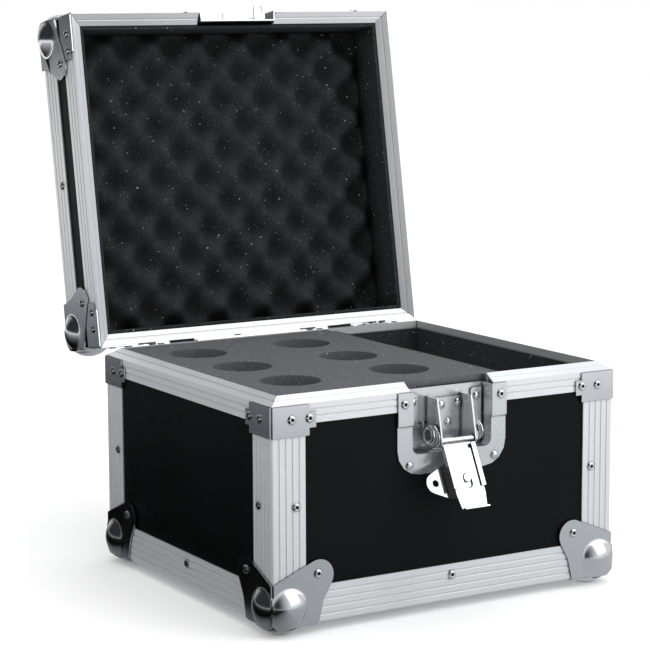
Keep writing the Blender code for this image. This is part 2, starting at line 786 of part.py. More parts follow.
def make_keeper_dish(steel, pivot):
    """Shallow dish in the lid's front, with the shelf that the hook draws on."""
    low = BASE_HEIGHT + DISH_TOP_DROP
    joggle = BASE_HEIGHT + LID_RIM_LEG + SHEET / 2.0
    shape = dish_shape(
        low, low + KEEPER_HEIGHT, low + KEEPER_RECESS_HEIGHT, KEEPER_OUTER_ROUND,
        (joggle, joggle + DISH_JOGGLE_RUN), -GAP - SHEET, PANEL_FACE - GAP - SHEET, KEEPER_DEPTH)
    dish = sheet_object("keeper_dish", shape, steel)
    place(dish, (LATCH_OFFSET, -HALF_DEPTH, 0.0), pivot=pivot)
    back = KEEPER_DEPTH + SHEET / 2.0
    shelf_top = BASE_HEIGHT + KEEPER_SHELF_TOP
    shelf = box((-KEEPER_SHELF_HALF_WIDTH, KEEPER_DEPTH - KEEPER_SHELF_REACH, shelf_top - SHEET),
                (KEEPER_SHELF_HALF_WIDTH, back, shelf_top))
    ring_low = BASE_HEIGHT + RING_HEIGHT - RING_THICKNESS / 2.0
    eye = KEEPER_DEPTH - RING_REACH + RING_RADIUS
    ring_outline = [(RING_OFFSET + RING_RADIUS, back), (RING_OFFSET - RING_RADIUS, back)]
    for step in range(2 * ARC_STEPS + 1):
        angle = math.pi + math.pi * step / (2 * ARC_STEPS)
        ring_outline.append((RING_OFFSET + RING_RADIUS * math.cos(angle),
                             eye + RING_RADIUS * math.sin(angle)))
    ring = prism(ring_outline, "xy", ring_low, ring_low + RING_THICKNESS)
    bore = prism(circle((RING_OFFSET, eye), RING_HOLE_RADIUS), "xy",
                 ring_low - RING_THICKNESS, ring_low + RING_THICKNESS * 2.0)
    fuse(dish, new_object("keeper_shelf_form", shelf), new_object("padlock_ring_form", ring))
    cut(dish, new_object("padlock_ring_cutter", bore))


def make_latch_bracket(steel):
    """Riveted plate with two ears, the latch pin and the spools for the spring."""
    floor = RECESS_DEPTH - BRACKET_STANDOFF
    face = floor - SHEET
    pin = LATCH_PIN.z
    bottom = pin - BRACKET_BOTTOM
    strip = pin + BRACKET_STRIP_TOP
    tab = BRACKET_HALF_WIDTH - BRACKET_TAB_WIDTH
    right_half = [
        (BRACKET_HALF_WIDTH, bottom, BRACKET_ROUND),
        (BRACKET_HALF_WIDTH, pin + BRACKET_TAB_TOP, 0.0),
        (tab, pin + BRACKET_TAB_TOP, BRACKET_ROUND),
        (tab, strip, 0.0),
        (EAR_HALF_SPAN, strip, 0.0),
        (EAR_HALF_SPAN, pin + BRACKET_MIDDLE_TOP, 0.0),
    ]
    left_half = [(-x, z, radius) for x, z, radius in reversed(right_half)]
    plate = new_object("latch_bracket", prism(rounded(right_half + left_half), "xz", face, floor), steel)
    place(plate, (LATCH_OFFSET, -HALF_DEPTH, 0.0))
    eye = (-PIN_PROUD, pin)
    ear_outline = [(floor, bottom), (floor, pin + EAR_TOP), (face - EAR_TOP_REACH, pin + EAR_TOP)]
    for step in range(2 * ARC_STEPS + 1):
        angle = math.pi + math.pi / 2.0 * step / (2 * ARC_STEPS)
        ear_outline.append((eye[0] + EAR_EYE_RADIUS * math.cos(angle),
                            eye[1] + EAR_EYE_RADIUS * math.sin(angle)))
    hub = (eye[0] + SPOOL_BACK, eye[1] + SPOOL_RISE)
    for name, end in (("left", -1.0), ("right", 1.0)):
        near, far = sorted((end * (EAR_HALF_SPAN - SHEET), end * EAR_HALF_SPAN))
        ear = new_object(f"ear_{name}_form", prism(ear_outline, "yz", near, far))
        near, far = sorted((end * (EAR_HALF_SPAN - SHEET / 2.0), end * (EAR_HALF_SPAN + SPOOL_LENGTH)))
        spool = new_object(f"spool_{name}_form", prism(circle(hub, SPOOL_RADIUS), "yz", near, far))
        near, far = sorted((end * (EAR_HALF_SPAN + SHEET / 2.0),
                            end * (EAR_HALF_SPAN + SPOOL_LENGTH + OVERRUN)))
        bore = new_object(f"spool_{name}_cutter", prism(circle(hub, SPOOL_BORE_RADIUS), "yz", near, far))
        fuse(plate, ear, spool)
        cut(plate, bore)
    reach = EAR_HALF_SPAN - SHEET / 2.0
    fuse(plate, new_object("latch_pin_form", prism(circle(eye, PIN_RADIUS), "yz", -reach, reach)))


def spring_points():
    """Centre line of the spring: tail, coil, bridge under the ears, coil, tail."""
    hub_y = -PIN_PROUD + SPOOL_BACK
    hub_z = LATCH_PIN.z + SPOOL_RISE
    inner = EAR_HALF_SPAN + SPRING_EAR_GAP + WIRE_RADIUS
    half = []
    tail_x = inner + SPRING_TURNS * SPRING_PITCH
    half.append((tail_x, hub_y + SPRING_RADIUS, hub_z + SPRING_RADIUS + SPRING_TAIL))
    half.append((tail_x, hub_y + SPRING_RADIUS, hub_z + SPRING_RADIUS / 2.0))
    steps = int(SPRING_TURNS * SPRING_TURN_POINTS)
    for step in range(steps + 1):
        share = step / steps
        angle = -share * SPRING_TURNS * 2.0 * math.pi
        half.append((tail_x - share * SPRING_TURNS * SPRING_PITCH,
                     hub_y + SPRING_RADIUS * math.cos(angle),
                     hub_z + SPRING_RADIUS * math.sin(angle)))
    return half


def make_spring(material):
    """Double torsion spring on the spools, one unbroken wire."""
    right = spring_points()
    drop = LATCH_PIN.z - SPRING_BRIDGE_DROP
    back = -PIN_PROUD + SPRING_BRIDGE_BACK
    inner = right[-1][0]
    down = [(inner, right[-1][1], drop + SPRING_RADIUS),
            (inner, (right[-1][1] + back) / 2.0, drop + WIRE_RADIUS * 2.0),
            (inner - SHEET, back, drop)]
    half = right + down
    points = half + [(-x, y, z) for x, y, z in reversed(half)]
    gap = least_self_gap(points)
    print(f"spring least gap to itself: {gap * 1000.0:.2f} mm")
    if gap < MIN_SELF_GAP:
        print("spring turns are closer than they should be")
    curve = bpy.data.curves.new("latch_spring", "CURVE")
    curve.dimensions = "3D"
    curve.bevel_depth = WIRE_RADIUS
    curve.bevel_resolution = 1
    curve.use_fill_caps = True
    spline = curve.splines.new("POLY")
    spline.points.add(len(points) - 1)
    for point, where in zip(spline.points, points):
        point.co = (*where, 1.0)
    curve.materials.append(material)
    wire = bpy.data.objects.new("latch_spring", curve)
    bpy.context.collection.objects.link(wire)
    place(wire, (LATCH_OFFSET, -HALF_DEPTH, 0.0))


def least_self_gap(points):
    """Least clear distance between parts of the wire that are over half a turn apart."""
    best = math.inf
    apart = SPRING_TURN_POINTS // 2 + 1
    fine = []
    for first, second in zip(points, points[1:]):
        fine.append(Vector(first))
        fine.append(Vector(first).lerp(Vector(second), 0.5))
    for index, here in enumerate(fine):
        for there in fine[index + 2 * apart:]:
            best = min(best, (here - there).length)
    return best - 2.0 * WIRE_RADIUS


def make_arm(steel, pivot):
    """Channel that swings on the pin; its lips hold the hook. -Y is its outer side."""
    lip_face = HOOK_SLOT + SHEET
    outline = [
        (-ARM_HALF_WIDTH, -lip_face), (ARM_HALF_WIDTH, -lip_face), (ARM_HALF_WIDTH, lip_face),
        (ARM_HALF_WIDTH - ARM_LIP_WIDTH, lip_face), (ARM_HALF_WIDTH - ARM_LIP_WIDTH, HOOK_SLOT),
        (ARM_HALF_WIDTH - SHEET, HOOK_SLOT), (ARM_HALF_WIDTH - SHEET, -HOOK_SLOT),
        (-ARM_HALF_WIDTH + SHEET, -HOOK_SLOT), (-ARM_HALF_WIDTH + SHEET, HOOK_SLOT),
        (-ARM_HALF_WIDTH + ARM_LIP_WIDTH, HOOK_SLOT), (-ARM_HALF_WIDTH + ARM_LIP_WIDTH, lip_face),
        (-ARM_HALF_WIDTH, lip_face),
    ]
    arm = new_object("latch_arm", prism(outline, "xy", ARM_LIP_START, ARM_LENGTH), steel)
    arm.parent = pivot
    web = box((-ARM_HALF_WIDTH, -lip_face, 0.0), (ARM_HALF_WIDTH, -HOOK_SLOT, ARM_LIP_START + SHEET))
    barrel = prism(circle((0.0, 0.0), BARREL_RADIUS), "yz", -ARM_HALF_WIDTH, ARM_HALF_WIDTH)
    reach = ARM_HALF_WIDTH + OVERRUN
    bore = prism(circle((0.0, 0.0), BARREL_BORE_RADIUS), "yz", -reach, reach)
    stem_hole = prism(circle((0.0, BUTTERFLY_REACH), STEM_RADIUS + STEM_CLEARANCE), "xz",
                      -lip_face - OVERRUN, -HOOK_SLOT + SHEET / 2.0)
    fuse(arm, new_object("arm_web_form", web), new_object("arm_barrel_form", barrel))
    cut(arm, new_object("arm_bore_cutter", bore), new_object("arm_stem_cutter", stem_hole))


def make_hook(steel, pivot):
    """Flat hook in the arm's channel, slotted for the stem, with its lip at the tip."""
    half = ARM_HALF_WIDTH - SHEET - GAP
    thick = SHEET / 2.0
    outline = [(-half, HOOK_START), (half, HOOK_START), (half, ARM_LENGTH + HOOK_TRAVEL),
               (HOOK_TIP_HALF_WIDTH, HOOK_TIP), (-HOOK_TIP_HALF_WIDTH, HOOK_TIP),
               (-half, ARM_LENGTH + HOOK_TRAVEL)]
    hook = new_object("latch_hook", prism(outline, "xz", -thick, thick), steel)
    hook.parent = pivot
    lip = box((-HOOK_TIP_HALF_WIDTH, -thick, HOOK_TIP - SHEET), (HOOK_TIP_HALF_WIDTH, HOOK_LIP, HOOK_TIP))
    middle = BUTTERFLY_REACH + HOOK_TRAVEL / 2.0
    slot = prism(capsule((0.0, middle), HOOK_TRAVEL / 2.0, STEM_RADIUS + SLOT_MARGIN), "xz",
                 -OVERRUN, OVERRUN)
    fuse(hook, new_object("hook_lip_form", lip))
    cut(hook, new_object("hook_slot_cutter", slot))


def make_butterfly(steel, pivot):
    """Stepped wing plate with a padlock hole, a finger flange and the stem."""
    near = HOOK_SLOT + SHEET + GAP
    far = near + SHEET
    bend = HUB_HALF_WIDTH
    ramp = bend + WING_STEP
    tip = WING_EYE_REACH + WING_TIP_RADIUS + OVERRUN
    section = [
        (-tip, -far - WING_STEP), (-ramp, -far - WING_STEP), (-bend, -far), (bend - SHEET, -far),
        (bend - SHEET, -far - FINGER_FLANGE), (bend, -far - FINGER_FLANGE), (bend, -near),
        (-bend, -near), (-ramp, -near - WING_STEP), (-tip, -near - WING_STEP),
    ]
    plate = new_object("butterfly", prism(section, "xy", -HUB_HALF_HEIGHT, HUB_HALF_HEIGHT), steel)
    plate.parent = pivot
    shoulder = WING_SHOULDER_SHARE * bend
    outline = []
    for step in range(2 * ARC_STEPS + 1):
        angle = WING_TIP_START + WING_TIP_SWEEP * step / (2 * ARC_STEPS)
        outline.append((-WING_EYE_REACH + WING_TIP_RADIUS * math.cos(angle),
                        WING_TIP_RADIUS * math.sin(angle)))
    outline += [(-shoulder, -HUB_HALF_HEIGHT), (shoulder, -HUB_HALF_HEIGHT),
                (bend + OVERRUN, -FINGER_HALF_HEIGHT), (bend + OVERRUN, FINGER_HALF_HEIGHT),
                (shoulder, HUB_HALF_HEIGHT), (-shoulder, HUB_HALF_HEIGHT)]
    limit = prism(outline, "xz", -far - WING_STEP - FINGER_FLANGE - OVERRUN, OVERRUN)
    add_boolean(plate, new_object("butterfly_outline_form", limit), "INTERSECT")
    hole = prism(circle((-WING_EYE_REACH, 0.0), WING_HOLE_RADIUS), "xz",
                 -far - WING_STEP - OVERRUN, -near + OVERRUN)
    cut(plate, new_object("padlock_hole_cutter", hole))
    stem = prism(circle((0.0, 0.0), STEM_RADIUS), "xz", -near - SHEET / 2.0, SHEET / 2.0 + STEM_HEAD)
    fuse(plate, new_object("butterfly_stem_form", stem))


def make_foam_block(material):
    """Foam block with microphone wells, cut away behind the latch dish."""
    left = -HALF_WIDTH + LINING_INSET
    half_y = HALF_DEPTH - LINING_INSET
    floor = PANEL_BACK + GAP
    top = BASE_HEIGHT + FOAM_TOP
    notch_half = RECESS_HALF_WIDTH + FOAM_NOTCH_MARGIN
    notch_y = -half_y + FOAM_NOTCH_DEPTH
    outline = [
        (left, -half_y), (LATCH_OFFSET - notch_half, -half_y), (LATCH_OFFSET - notch_half, notch_y),
        (LATCH_OFFSET + notch_half, notch_y), (LATCH_OFFSET + notch_half, -half_y),
        (FOAM_RIGHT, -half_y), (FOAM_RIGHT, half_y), (left, half_y),
    ]
    block = new_object("microphone_foam", prism(outline, "xy", floor, top), material)
    place(block, (0.0, 0.0, 0.0))
    first = -HALF_WIDTH + WELL_FIRST_INSET
    for column in range(2):
        for row in range(-1, 2):
            centre = (first + column * WELL_COLUMN_PITCH, WELL_ROW_OFFSET + row * WELL_ROW_PITCH)
            well = prism(circle(centre, WELL_RADIUS, WELL_SIDES), "xy", top - WELL_DEPTH, top + OVERRUN)
            cut(block, new_object(f"well_{column}_{row + 1}_cutter", well))


def make_divider(material):
    """Upright panel between the foam and the compartment."""
    half_y = HALF_DEPTH - LINING_INSET
    low = (FOAM_RIGHT + GAP, -half_y, PANEL_BACK + GAP)
    high = (FOAM_RIGHT + GAP + DIVIDER_THICKNESS, half_y, BASE_HEIGHT + DIVIDER_TOP)
    place(new_object("divider_panel", box(low, high), material), (0.0, 0.0, 0.0))


def make_lid_lining(material, pivot):
    """Flat foam round the lid's walls, four strips joined at the corners."""
    low = BASE_HEIGHT + RIM_RISE + PARTING_GAP + GAP
    high = LID_TOP - PANEL_BACK - GAP
    outer, inner = LINING_INSET, LINING_INSET + LINING_THICKNESS
    ring = box((-HALF_WIDTH + outer, -HALF_DEPTH + outer, low),
               (HALF_WIDTH - outer, HALF_DEPTH - outer, high))
    core = box((-HALF_WIDTH + inner, -HALF_DEPTH + inner, low - OVERRUN),
               (HALF_WIDTH - inner, HALF_DEPTH - inner, high + OVERRUN))
    lining = place(new_object("lid_lining", ring, material), (0.0, 0.0, 0.0), pivot=pivot)
    cut(lining, new_object("lid_lining_cutter", core))


def crate_depth(x, y):
    """Foam thickness below the lid's top panel: staggered rows of rounded peaks."""
    along, across = 2.0 * math.pi * x / CRATE_PITCH_X, 2.0 * math.pi * (y - CRATE_ROW_SHIFT) / CRATE_PITCH_Y
    wave = math.cos(along) * math.cos(across)
    return CRATE_VALLEY + (CRATE_PEAK - CRATE_VALLEY) * (wave + 1.0) / 2.0


def make_egg_crate(material, pivot):
    """Egg-crate foam under the lid's top panel, peaks towards the microphones."""
    inset = LINING_INSET + LINING_THICKNESS + GAP
    half_x, half_y = HALF_WIDTH - inset, HALF_DEPTH - inset
    top = LID_TOP - PANEL_BACK - GAP
    columns = math.ceil(2.0 * half_x / CRATE_PITCH_X * CRATE_STEPS)
    rows = math.ceil(2.0 * half_y / CRATE_PITCH_Y * CRATE_STEPS)
    shape = bmesh.new()
    upper, lower = {}, {}
    for column in range(columns + 1):
        for row in range(rows + 1):
            x = -half_x + 2.0 * half_x * column / columns
            y = -half_y + 2.0 * half_y * row / rows
            lower[column, row] = shape.verts.new((x, y, top - crate_depth(x, y)))
            if column in (0, columns) or row in (0, rows):
                upper[column, row] = shape.verts.new((x, y, top))
    for column in range(columns):
        for row in range(rows):
            shape.faces.new((lower[column, row], lower[column, row + 1],
                             lower[column + 1, row + 1], lower[column + 1, row]))
    rim = [(column, 0) for column in range(columns)] + [(columns, row) for row in range(rows)]
    rim += [(column, rows) for column in range(columns, 0, -1)] + [(0, row) for row in range(rows, 0, -1)]
    for here, there in zip(rim, rim[1:] + rim[:1]):
        shape.faces.new((lower[here], lower[there], upper[there], upper[here]))
    shape.faces.new([upper[key] for key in rim])
    place(new_object("egg_crate_foam", shape, material, smooth=True), (0.0, 0.0, 0.0), pivot=pivot)


def hinge_leaf_outline(start, end):
    """Leaf face in (x, z) with its far corners rounded."""
    half = HINGE_WIDTH / 2.0
    return rounded([(-half, start, 0.0), (half, start, 0.0), (half, end, HINGE_ROUND),
                    (-half, end, HINGE_ROUND)])


def knuckle_outline(leaf_level):
    """Knuckle in (y, z), a round eye with a web back to the leaf's edge."""
    leaf_near, leaf_far = HALF_DEPTH + GAP, HALF_DEPTH + GAP + HINGE_SHEET
    eye = (HINGE_AXIS.y, HINGE_AXIS.z)
    up = 1.0 if leaf_level > eye[1] else -1.0
    outline = [(leaf_near, leaf_level + up * HINGE_SHEET), (leaf_near, leaf_level)]
    for step in range(3 * ARC_STEPS + 1):
        angle = KNUCKLE_START + KNUCKLE_SWEEP * step / (3 * ARC_STEPS)
        outline.append((eye[0] + KNUCKLE_RADIUS * math.cos(angle),
                        eye[1] + up * KNUCKLE_RADIUS * math.sin(angle)))
    return outline + [(leaf_far, leaf_level + up * HINGE_SHEET)]


def make_hinge(name, x, steel, pivot):
    """Stop hinge: the lower leaf holds the pin, the upper leaf turns on it."""
    near, far = HALF_DEPTH + GAP, HALF_DEPTH + GAP + HINGE_SHEET
    lower_start = BASE_HEIGHT - HINGE_LEAF_START
    upper_start = BASE_HEIGHT + HINGE_LEAF_START
    half = HINGE_WIDTH / 2.0
    middle = KNUCKLE_MIDDLE / 2.0
    eye = (HINGE_AXIS.y, HINGE_AXIS.z)
    lower = new_object(f"hinge_base_{name}",
                       prism(hinge_leaf_outline(lower_start, lower_start - HINGE_LEAF), "xz", near, far),
                       steel)
    place(lower, (x, 0.0, 0.0))
    knuckle = knuckle_outline(lower_start)
    for end in (-1.0, 1.0):
        inner, outer = sorted((end * (middle + GAP), end * half))
        fuse(lower, new_object(f"hinge_base_{name}_knuckle_form", prism(knuckle, "yz", inner, outer)))
    fuse(lower, new_object(f"hinge_base_{name}_pin_form",
                           prism(circle(eye, PIN_RADIUS), "yz", -half + SHEET, half - SHEET)))
    upper = new_object(f"hinge_lid_{name}",
                       prism(hinge_leaf_outline(upper_start, upper_start + HINGE_LEAF), "xz", near, far),
                       steel)
    place(upper, (x, 0.0, 0.0), pivot=pivot)
    fuse(upper, new_object(f"hinge_lid_{name}_knuckle_form",
                           prism(knuckle_outline(upper_start), "yz", -middle, middle)))
    cut(upper, new_object(f"hinge_lid_{name}_cutter",
                          prism(circle(eye, KNUCKLE_BORE_RADIUS), "yz", -half, half)))


def make_handle(material, pivot):
    """Moulded strap handle with a round grip, standing on two feet."""
    half = HANDLE_LENGTH / 2.0
    ramp_start = half - HANDLE_FOOT_LENGTH
    ramp_end = ramp_start - HANDLE_RAMP
    base = GAP
    foot_top = base + HANDLE_FOOT_HEIGHT
    under = HANDLE_RISE - HANDLE_STRAP_THICKNESS
    upper = [(-half, foot_top, HANDLE_STRAP_THICKNESS / 2.0), (-ramp_start, foot_top, HANDLE_FOOT_HEIGHT),
             (-ramp_end, HANDLE_RISE, HANDLE_FOOT_HEIGHT), (ramp_end, HANDLE_RISE, HANDLE_FOOT_HEIGHT),
             (ramp_start, foot_top, HANDLE_FOOT_HEIGHT), (half, foot_top, HANDLE_STRAP_THICKNESS / 2.0)]
    lower = [(half, base, 0.0), (ramp_start, base, HANDLE_FOOT_HEIGHT),
             (ramp_end, under, HANDLE_FOOT_HEIGHT), (-ramp_end, under, HANDLE_FOOT_HEIGHT),
             (-ramp_start, base, HANDLE_FOOT_HEIGHT), (-half, base, 0.0)]
    half_strap = HANDLE_STRAP_WIDTH / 2.0
    strap = new_object("carry_handle", prism(rounded(upper + lower), "xz", -half_strap, half_strap), material,
                       smooth=True)
    place(strap, (0.0, 0.0, LID_TOP - PANEL_FACE), pivot=pivot)
    grip_z = HANDLE_RISE - HANDLE_STRAP_THICKNESS / 2.0
    grip_half = ramp_end - HANDLE_FOOT_HEIGHT
    grip = prism(circle((0.0, grip_z), HANDLE_GRIP_RADIUS), "yz", -grip_half, grip_half)
    foot_half = HANDLE_FOOT_WIDTH / 2.0
    fuse(strap, new_object("handle_grip_form", grip))
    for name, end in (("left", -1.0), ("right", 1.0)):
        near, far = sorted((end * (half - HANDLE_FOOT_LENGTH + HANDLE_FOOT_HEIGHT), end * half))
        outline = rounded([(near, -foot_half, HANDLE_FOOT_HEIGHT), (far, -foot_half, HANDLE_FOOT_HEIGHT),
                           (far, foot_half, HANDLE_FOOT_HEIGHT), (near, foot_half, HANDLE_FOOT_HEIGHT)])
        fuse(strap, new_object(f"handle_foot_{name}_form", prism(outline, "xy", base, foot_top - GAP)))


def make_base(materials):
    make_flat_panel("bottom_panel", PANEL_FACE, materials["laminate"])
    notch = BASE_HEIGHT - DISH_TOP_DROP - RECESS_HEIGHT - SHEET - NOTCH_CLEARANCE
    panel_top = BASE_HEIGHT - bevel_sheet()
    make_side_panels("base", PANEL_FACE, panel_top, notch, True, materials["laminate"])
    make_edges("bottom_edge", 0.0, EDGE_LEG, EDGE_GROOVE_COUNT, 1.0, materials["aluminium"])
    make_corner_angles(materials["aluminium"])
    make_rims("base_rim", base_rim_profile(), BASE_HEIGHT, materials["aluminium"])
    make_base_corners(materials["steel"])
    make_latch_dish(materials["steel"])
    make_latch_bracket(materials["chrome"])
    make_spring(materials["spring"])
    make_foam_block(materials["grey_foam"])
    make_divider(materials["laminate"])


def make_lid(materials, pivot):
    make_flat_panel("lid_top_panel", LID_TOP - PANEL_BACK, materials["laminate"], pivot)
    low = BASE_HEIGHT + PARTING_GAP + bevel_sheet() + bevel_height(RIM_WIDTH)
    notch = BASE_HEIGHT + DISH_TOP_DROP + KEEPER_RECESS_HEIGHT + SHEET + NOTCH_CLEARANCE
    make_side_panels("lid", low, LID_TOP - PANEL_FACE, notch, False, materials["laminate"], pivot)
    make_edges("lid_edge", LID_TOP, LID_EDGE_LEG, LID_EDGE_GROOVE_COUNT, -1.0, materials["aluminium"], pivot)
    make_rims("lid_rim", lid_rim_profile(), BASE_HEIGHT, materials["aluminium"], pivot)
    make_lid_corners(materials["steel"], pivot)
    make_keeper_dish(materials["steel"], pivot)
    make_lid_lining(materials["black_foam"], pivot)
    make_egg_crate(materials["black_foam"], pivot)
    make_handle(materials["rubber"], pivot)


def make_latch(materials):
    """Arm, hook and butterfly, modelled upright and hung by their pivots."""
    arm_pivot = new_pivot("arm_pivot", LATCH_PIN, (ARM_HANG_ANGLE, 0.0, 0.0))
    turn_pivot = new_pivot("butterfly_pivot", (0.0, 0.0, BUTTERFLY_REACH), parent=arm_pivot)
    make_arm(materials["chrome"], arm_pivot)
    make_hook(materials["chrome"], arm_pivot)
    make_butterfly(materials["chrome"], turn_pivot)


def stand_on_balls():
    """Hangs the whole case from one empty, which lifts it onto its ball corners."""
    case = new_pivot("case", (0.0, 0.0, BALL_RADIUS - BALL_INSET))
    for thing in list(bpy.context.scene.objects):
        if thing is not case and thing.parent is None:
            thing.parent = case


def build():
    clear_scene()
    materials = make_materials()
    lid_pivot = new_pivot("lid_pivot", HINGE_AXIS)
    make_base(materials)
    make_lid(materials, lid_pivot)
    make_latch(materials)
    make_hinge("left", -HINGE_OFFSET, materials["steel"], lid_pivot)
    make_hinge("right", HINGE_OFFSET, materials["steel"], lid_pivot)
    lid_pivot.rotation_euler = (-LID_OPEN_ANGLE, 0.0, 0.0)
    stand_on_balls()


build()
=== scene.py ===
"""Microphone flight case with its lid open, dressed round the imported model.

Lengths are in metres, in the row frame. Pieces of the lid are made where they lie with the
lid shut, and are then turned open about the hinge.
"""
import json
import math

import bmesh
import bpy
from mathutils import Matrix, Vector


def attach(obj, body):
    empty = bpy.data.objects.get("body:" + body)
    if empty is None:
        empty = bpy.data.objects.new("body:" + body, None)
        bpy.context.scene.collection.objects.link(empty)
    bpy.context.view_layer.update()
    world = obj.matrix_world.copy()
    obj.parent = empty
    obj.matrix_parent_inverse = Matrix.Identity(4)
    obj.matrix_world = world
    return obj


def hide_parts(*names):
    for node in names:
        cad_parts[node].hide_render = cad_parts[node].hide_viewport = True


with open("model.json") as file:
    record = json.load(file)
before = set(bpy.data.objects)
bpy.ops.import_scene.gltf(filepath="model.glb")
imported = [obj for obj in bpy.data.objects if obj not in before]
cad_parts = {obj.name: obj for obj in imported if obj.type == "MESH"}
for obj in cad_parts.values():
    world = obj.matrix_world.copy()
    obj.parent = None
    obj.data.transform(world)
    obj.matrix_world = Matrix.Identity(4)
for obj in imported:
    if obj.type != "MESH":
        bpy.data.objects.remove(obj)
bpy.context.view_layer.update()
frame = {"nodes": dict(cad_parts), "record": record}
RECORD = frame["record"]
JOINTS = {joint["name"]: joint for joint in RECORD["behaviour"]["joints"]}

# The case, as the frame has it
FLOOR_LIFT = 0.0082
CASE_HALF_WIDTH = 0.1650
CASE_HALF_DEPTH = 0.1475
RIM = 0.1764 + FLOOR_LIFT
LID_TOP = RIM + 0.0697
GAP = 0.0003
SHEET = 0.0012
PLATE_PROUD = SHEET + GAP
LATCH_OFFSET = 0.0025
BRACKET_FACE = 0.1361
DIVIDER_RIGHT = 0.0668
HINGE_OFFSET = 0.0832
HINGE_PROUD = 0.0017
HANDLE_TOP = LID_TOP + 0.0038

# Lid, turned open about its hinge
HINGE_POINT = Vector(JOINTS["lid_hinge"]["pos_m"])
LID_OPEN_ANGLE = math.radians(JOINTS["lid_hinge"]["range_deg"][1])
LID_OPEN = (Matrix.Translation(HINGE_POINT) @ Matrix.Rotation(-LID_OPEN_ANGLE, 4, "X")
            @ Matrix.Translation(-HINGE_POINT))

# Camera: its direction, its distance and its offset from the case's foot, in its own frame
CAMERA_AZIMUTH = math.radians(-30.865)
CAMERA_ELEVATION = math.radians(8.549)
CAMERA_ROLL = math.radians(-0.211)
CAMERA_DISTANCE = 1.9173
CAMERA_ACROSS = -0.0254
CAMERA_UP = 0.2058
CAMERA_LENS = 121.6
SENSOR_WIDTH = 36.0
CLIP_END = 50.0

# Studio: (place, size, power) of its lights, the point they face, and its floor and card
KEY_LIGHT = ((1.5, -1.7, 1.5), 2.4, 22.0)
TOP_LIGHT = ((0.3, 0.1, 2.3), 2.2, 14.0)
LIT_POINT = (0.0, 0.0, 0.15)
FLOOR_HALF = 8.0
FLOOR_TONE = 0.93
FLOOR_GLOW = 0.10
CARD_LOW, CARD_HIGH = (-2.2, -1.1), (1.6, 2.2)
CARD_HEIGHT = 0.0005
# Tone of the card by x: what the pieces facing left, front and right mirror of the floor
CARD_TONES = (
    (-1.60, (0.50, 0.51, 0.53)),
    (-1.00, (0.30, 0.31, 0.33)),
    (-0.60, (0.10, 0.11, 0.12)),
    (-0.35, (0.0, 0.0, 0.0)),
    (-0.20, (0.0, 0.0, 0.0)),
    (-0.13, (0.40, 0.41, 0.43)),
    (0.30, (0.56, 0.58, 0.60)),
    (0.60, (0.62, 0.64, 0.66)),
)
# Mirrored studio: dark towards -X, pale towards +X
MIRRORED_DARK, MIRRORED_PALE = (0.02, 0.022, 0.026), (0.80, 0.82, 0.85)
MIRRORED_START, MIRRORED_END = 0.26, 0.62

# Ball corners
BALL_RADIUS = 0.0222
BALL_INSET = 0.0140
BALL_SEGMENTS = 64
FAN_EDGE = 0.0330
FAN_FOOT = 0.0400
FAN_LOBE_RADIUS = 0.0133
FAN_LOBE_ALONG = 0.0410
FAN_LOBE_RISE = 0.0380
FAN_WAIST_ALONG = 0.0450
FAN_WAIST_RISE = 0.0180
FAN_WAIST_ROUND = 0.0140
FAN_RIVET = 0.0400
FAN_CORNER_CUT = 0.0150
LOBE_STEPS = 24
BEND_ROUND = 0.0017
BEND_SEGMENTS = 5
BEND_CLEARANCE = 0.00004
BEND_OVERHANG = 0.0050
BALL_FILLET = 0.0065
FILLET_STEPS = 8
SEAM_STEPS = 24
SEAM_HALF_WIDTH = 0.00022
SEAM_DEPTH = 0.0010
SEAM_START = math.radians(13.0)
SEAM_NARROW = math.radians(-9.0)
SEAM_END = -math.atan(math.sqrt(0.5))
SLIT_HALF_WIDTH = 0.0009
LID_FAN_STEP = 0.0006
HOLLOW_CLIP = 0.0100
EDGE_SOFTENING = 0.00035
MERGE_DISTANCE = 0.000005
SHARP_ANGLE = math.radians(35.0)
CORNER_SHARP_ANGLE = math.radians(32.0)
SOFTENED_ANGLE = math.radians(38.0)

# Braces at the rim
BRACE_LENGTH = 0.0390
BRACE_HEIGHT = 0.0244
BRACE_ROUND = 0.0060
BRACE_ROUND_SEGMENTS = 8
BRACE_EDGE_ANGLE = math.radians(60.0)
BRACE_DROP = 0.0008
PARTING_GAP = 0.0004

# Rivets
RIVET_RADIUS = 0.0036
RIVET_HEIGHT = 0.0016
RIVET_EYE_RADIUS = 0.0014
RIVET_SIDES = 32
DOME_RADIUS = 0.0034
DOME_HEIGHT = 0.0019
# Places of rivets: inset from a side's end, height, or distance along from a middle
POST_RIVET_INSET, POST_RIVET_HEIGHT = 0.0215, 0.0950 + FLOOR_LIFT
EDGE_RIVET_HEIGHT = 0.0210 + FLOOR_LIFT
BRACE_RIVET_INSETS, BRACE_RIVET_HEIGHT = (0.0170, 0.0330), 0.1647 + FLOOR_LIFT
LID_BRACE_RIVET_INSETS, LID_BRACE_RIVET_RISE = (0.0160, 0.0310), 0.0120
LID_EDGE_RIVET_DROP = 0.0170
DISH_UPPER_RIVET = (0.0465, 0.1665 + FLOOR_LIFT)
DISH_LOWER_RIVET = (0.0413, 0.1160 + FLOOR_LIFT)
BRACKET_RIVETS = (
    (-0.0010, 0.1602),
    (0.0153, 0.1609),
    (0.0059, 0.1457),
    (0.0336, 0.1647),
    (-0.0286, 0.1647),
)
HINGE_RIVET_ALONG = 0.0170
HINGE_RIVET_HEIGHTS = (0.0135, 0.0310)
HANDLE_SCREWS = (0.0660, 0.0780)

